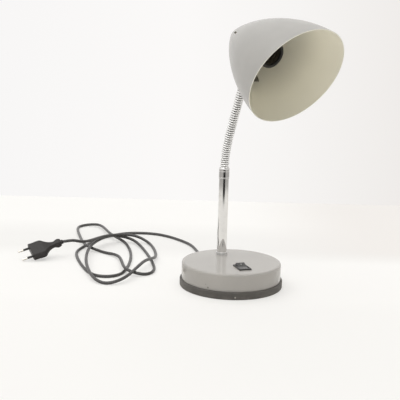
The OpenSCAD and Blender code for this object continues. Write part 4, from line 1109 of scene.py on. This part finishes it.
def floor_finish():
    """Pale table top with faint broad bands of painted light and shade across it, and painted shade
    to the far right, lit and shadowed only in part where it is seen."""
    finish = Finish("table_top", roughness=0.75, specular_ior_level=0.2)
    depth, side = finish.along(finish.coords, away), finish.along(finish.coords, across)
    tone = ramp(finish, depth, -0.4, 0.8, [(at, shaded(FLOOR_TONE, share)) for at, share in FLOOR_LIGHT_BANDS])
    # Painted shade: darker towards the far right of the table
    corner = side.step(0.0, 0.30) * depth.step(0.12, 0.24)
    tone = finish.blend(corner, tone, (0.86, 0.83, 0.80))
    finish.wear(base_color=tone)
    seen = finish.node("LightPath")["Is Camera Ray"]
    lit = Value(finish, finish.surface.outputs["BSDF"])
    finish.show(seen * SHADOW_LIFT, lit, finish.glow(tone))
    return finish.material


FLOOR_HALF, ROOM_HALF, ROOM_AT = 6.0, 3.0, 0.002
stage_plane("floor", level_square(FLOOR_HALF, 0), floor_finish())


def backdrop_finish():
    """Paper backdrop that shows only from in front, with painted shade that darkens it towards the
    right.
    """
    finish = Finish("backdrop_paper")
    side = finish.along(finish.coords, across)
    tone = ramp(finish, side, -0.55, 0.55, [
        (-0.55, (0.935, 0.925, 0.92)), (-0.088, (0.965, 0.95, 0.94)), (0.132, (0.93, 0.915, 0.90)),
        (0.55, (0.83, 0.80, 0.775))])
    behind = finish.node("NewGeometry")["Backfacing"]
    finish.show(behind, finish.glow(tone), finish.clear())
    return finish.material


WALL_AT, WALL_HALF, WALL_H = 0.66, 2.5, 2.6
left, right = (away * WALL_AT + across * end for end in (-WALL_HALF, WALL_HALF))
rise = np.array([0, 0, WALL_H])
corners = [tuple(corner) for corner in (left, right, right + rise, left + rise)]
backdrop = stage_plane("backdrop", corners, backdrop_finish())
backdrop.visible_diffuse = backdrop.visible_shadow = False


def room_finish():
    """The room round the table, as polished parts mirror it: grey, with somebody dark in front, and
    fading in past the table's edge, nearer where they stand."""
    finish = Finish("room")
    flat = finish.vectors("SUBTRACT", finish.coords, (0, POLE_Y * MM, 0), result="Vector")
    far = finish.vectors("LENGTH", flat)
    turned_by = finish.maths("ARCTAN2", finish.along(flat, across), finish.along(flat, -away))
    aside = finish.maths("ABSOLUTE", turned_by - 0.12)
    person = (1 - aside.step(0.25, 0.60)) * (1 - far.step(1.05, 1.20))
    grey = finish.blend(far.step(1.12, 1.25), (0.50, 0.485, 0.47), (0.92, 0.91, 0.90))
    glow = finish.glow(finish.blend(person, grey, (0.02, 0.02, 0.02)))
    begins = far + person * 0.14
    finish.show(begins.step(0.66, 0.86), finish.clear(), glow)
    return finish.material


room = stage_plane("room", level_square(ROOM_HALF, ROOM_AT), room_finish())
room.visible_camera = room.visible_diffuse = room.visible_shadow = False


def sun(name, strength, angle, direction, colour):
    """A wide soft light from a direction."""
    data = bpy.data.lights.new(name, "SUN")
    data.energy, data.angle, data.color = strength, math.radians(angle), colour
    made = bpy.data.objects.new(name, data)
    bpy.context.scene.collection.objects.link(made)
    towards = np.array(direction, float) / np.linalg.norm(direction)
    side = np.cross((0, 1, 0), towards)
    side /= np.linalg.norm(side)
    rotation = np.eye(4)
    rotation[:3, 0], rotation[:3, 1], rotation[:3, 2] = side, np.cross(towards, side), towards
    made.matrix_world = Matrix(rotation.tolist())


sun("overhead_softbox", 2.28, 90, (-0.15, 0.20, 1.0), (1.0, 0.995, 0.985))
sun("front_softbox", 0.40, 50, (-0.30, -1.0, 0.85), (1.0, 1.0, 0.99))

STUDIO_WHITE, STUDIO_DIM, STUDIO_LIGHT = (0.95, 0.945, 0.935), (0.85, 0.84, 0.83), (0.285, 0.285, 0.28)


def light_studio():
    """World: one even light, seen as white, and mirrored above the table as the pale backdrop behind,
    a dimmer room in front and the light overhead."""
    world = bpy.data.worlds.new("studio")
    bpy.context.scene.world = world
    studio = Nodes(world)
    direction = studio.node("TexCoord")["Generated"]
    overhead = studio.along(direction, (0, 0, 1)).step(0.45, 0.8)
    in_front = studio.along(direction, -away).step(-0.15, 0.35) * (1 - overhead)
    mirrored = studio.blend(in_front, STUDIO_WHITE, STUDIO_DIM)
    path = studio.node("LightPath")
    tone = studio.blend(path["Is Glossy Ray"], STUDIO_LIGHT, mirrored)
    tone = studio.blend(path["Is Camera Ray"], tone, STUDIO_WHITE)
    studio.output(studio.node("Background", {}, {"Color": tone})["Background"], "World Output")


light_studio()
bpy.context.scene.view_settings.view_transform = "Standard"
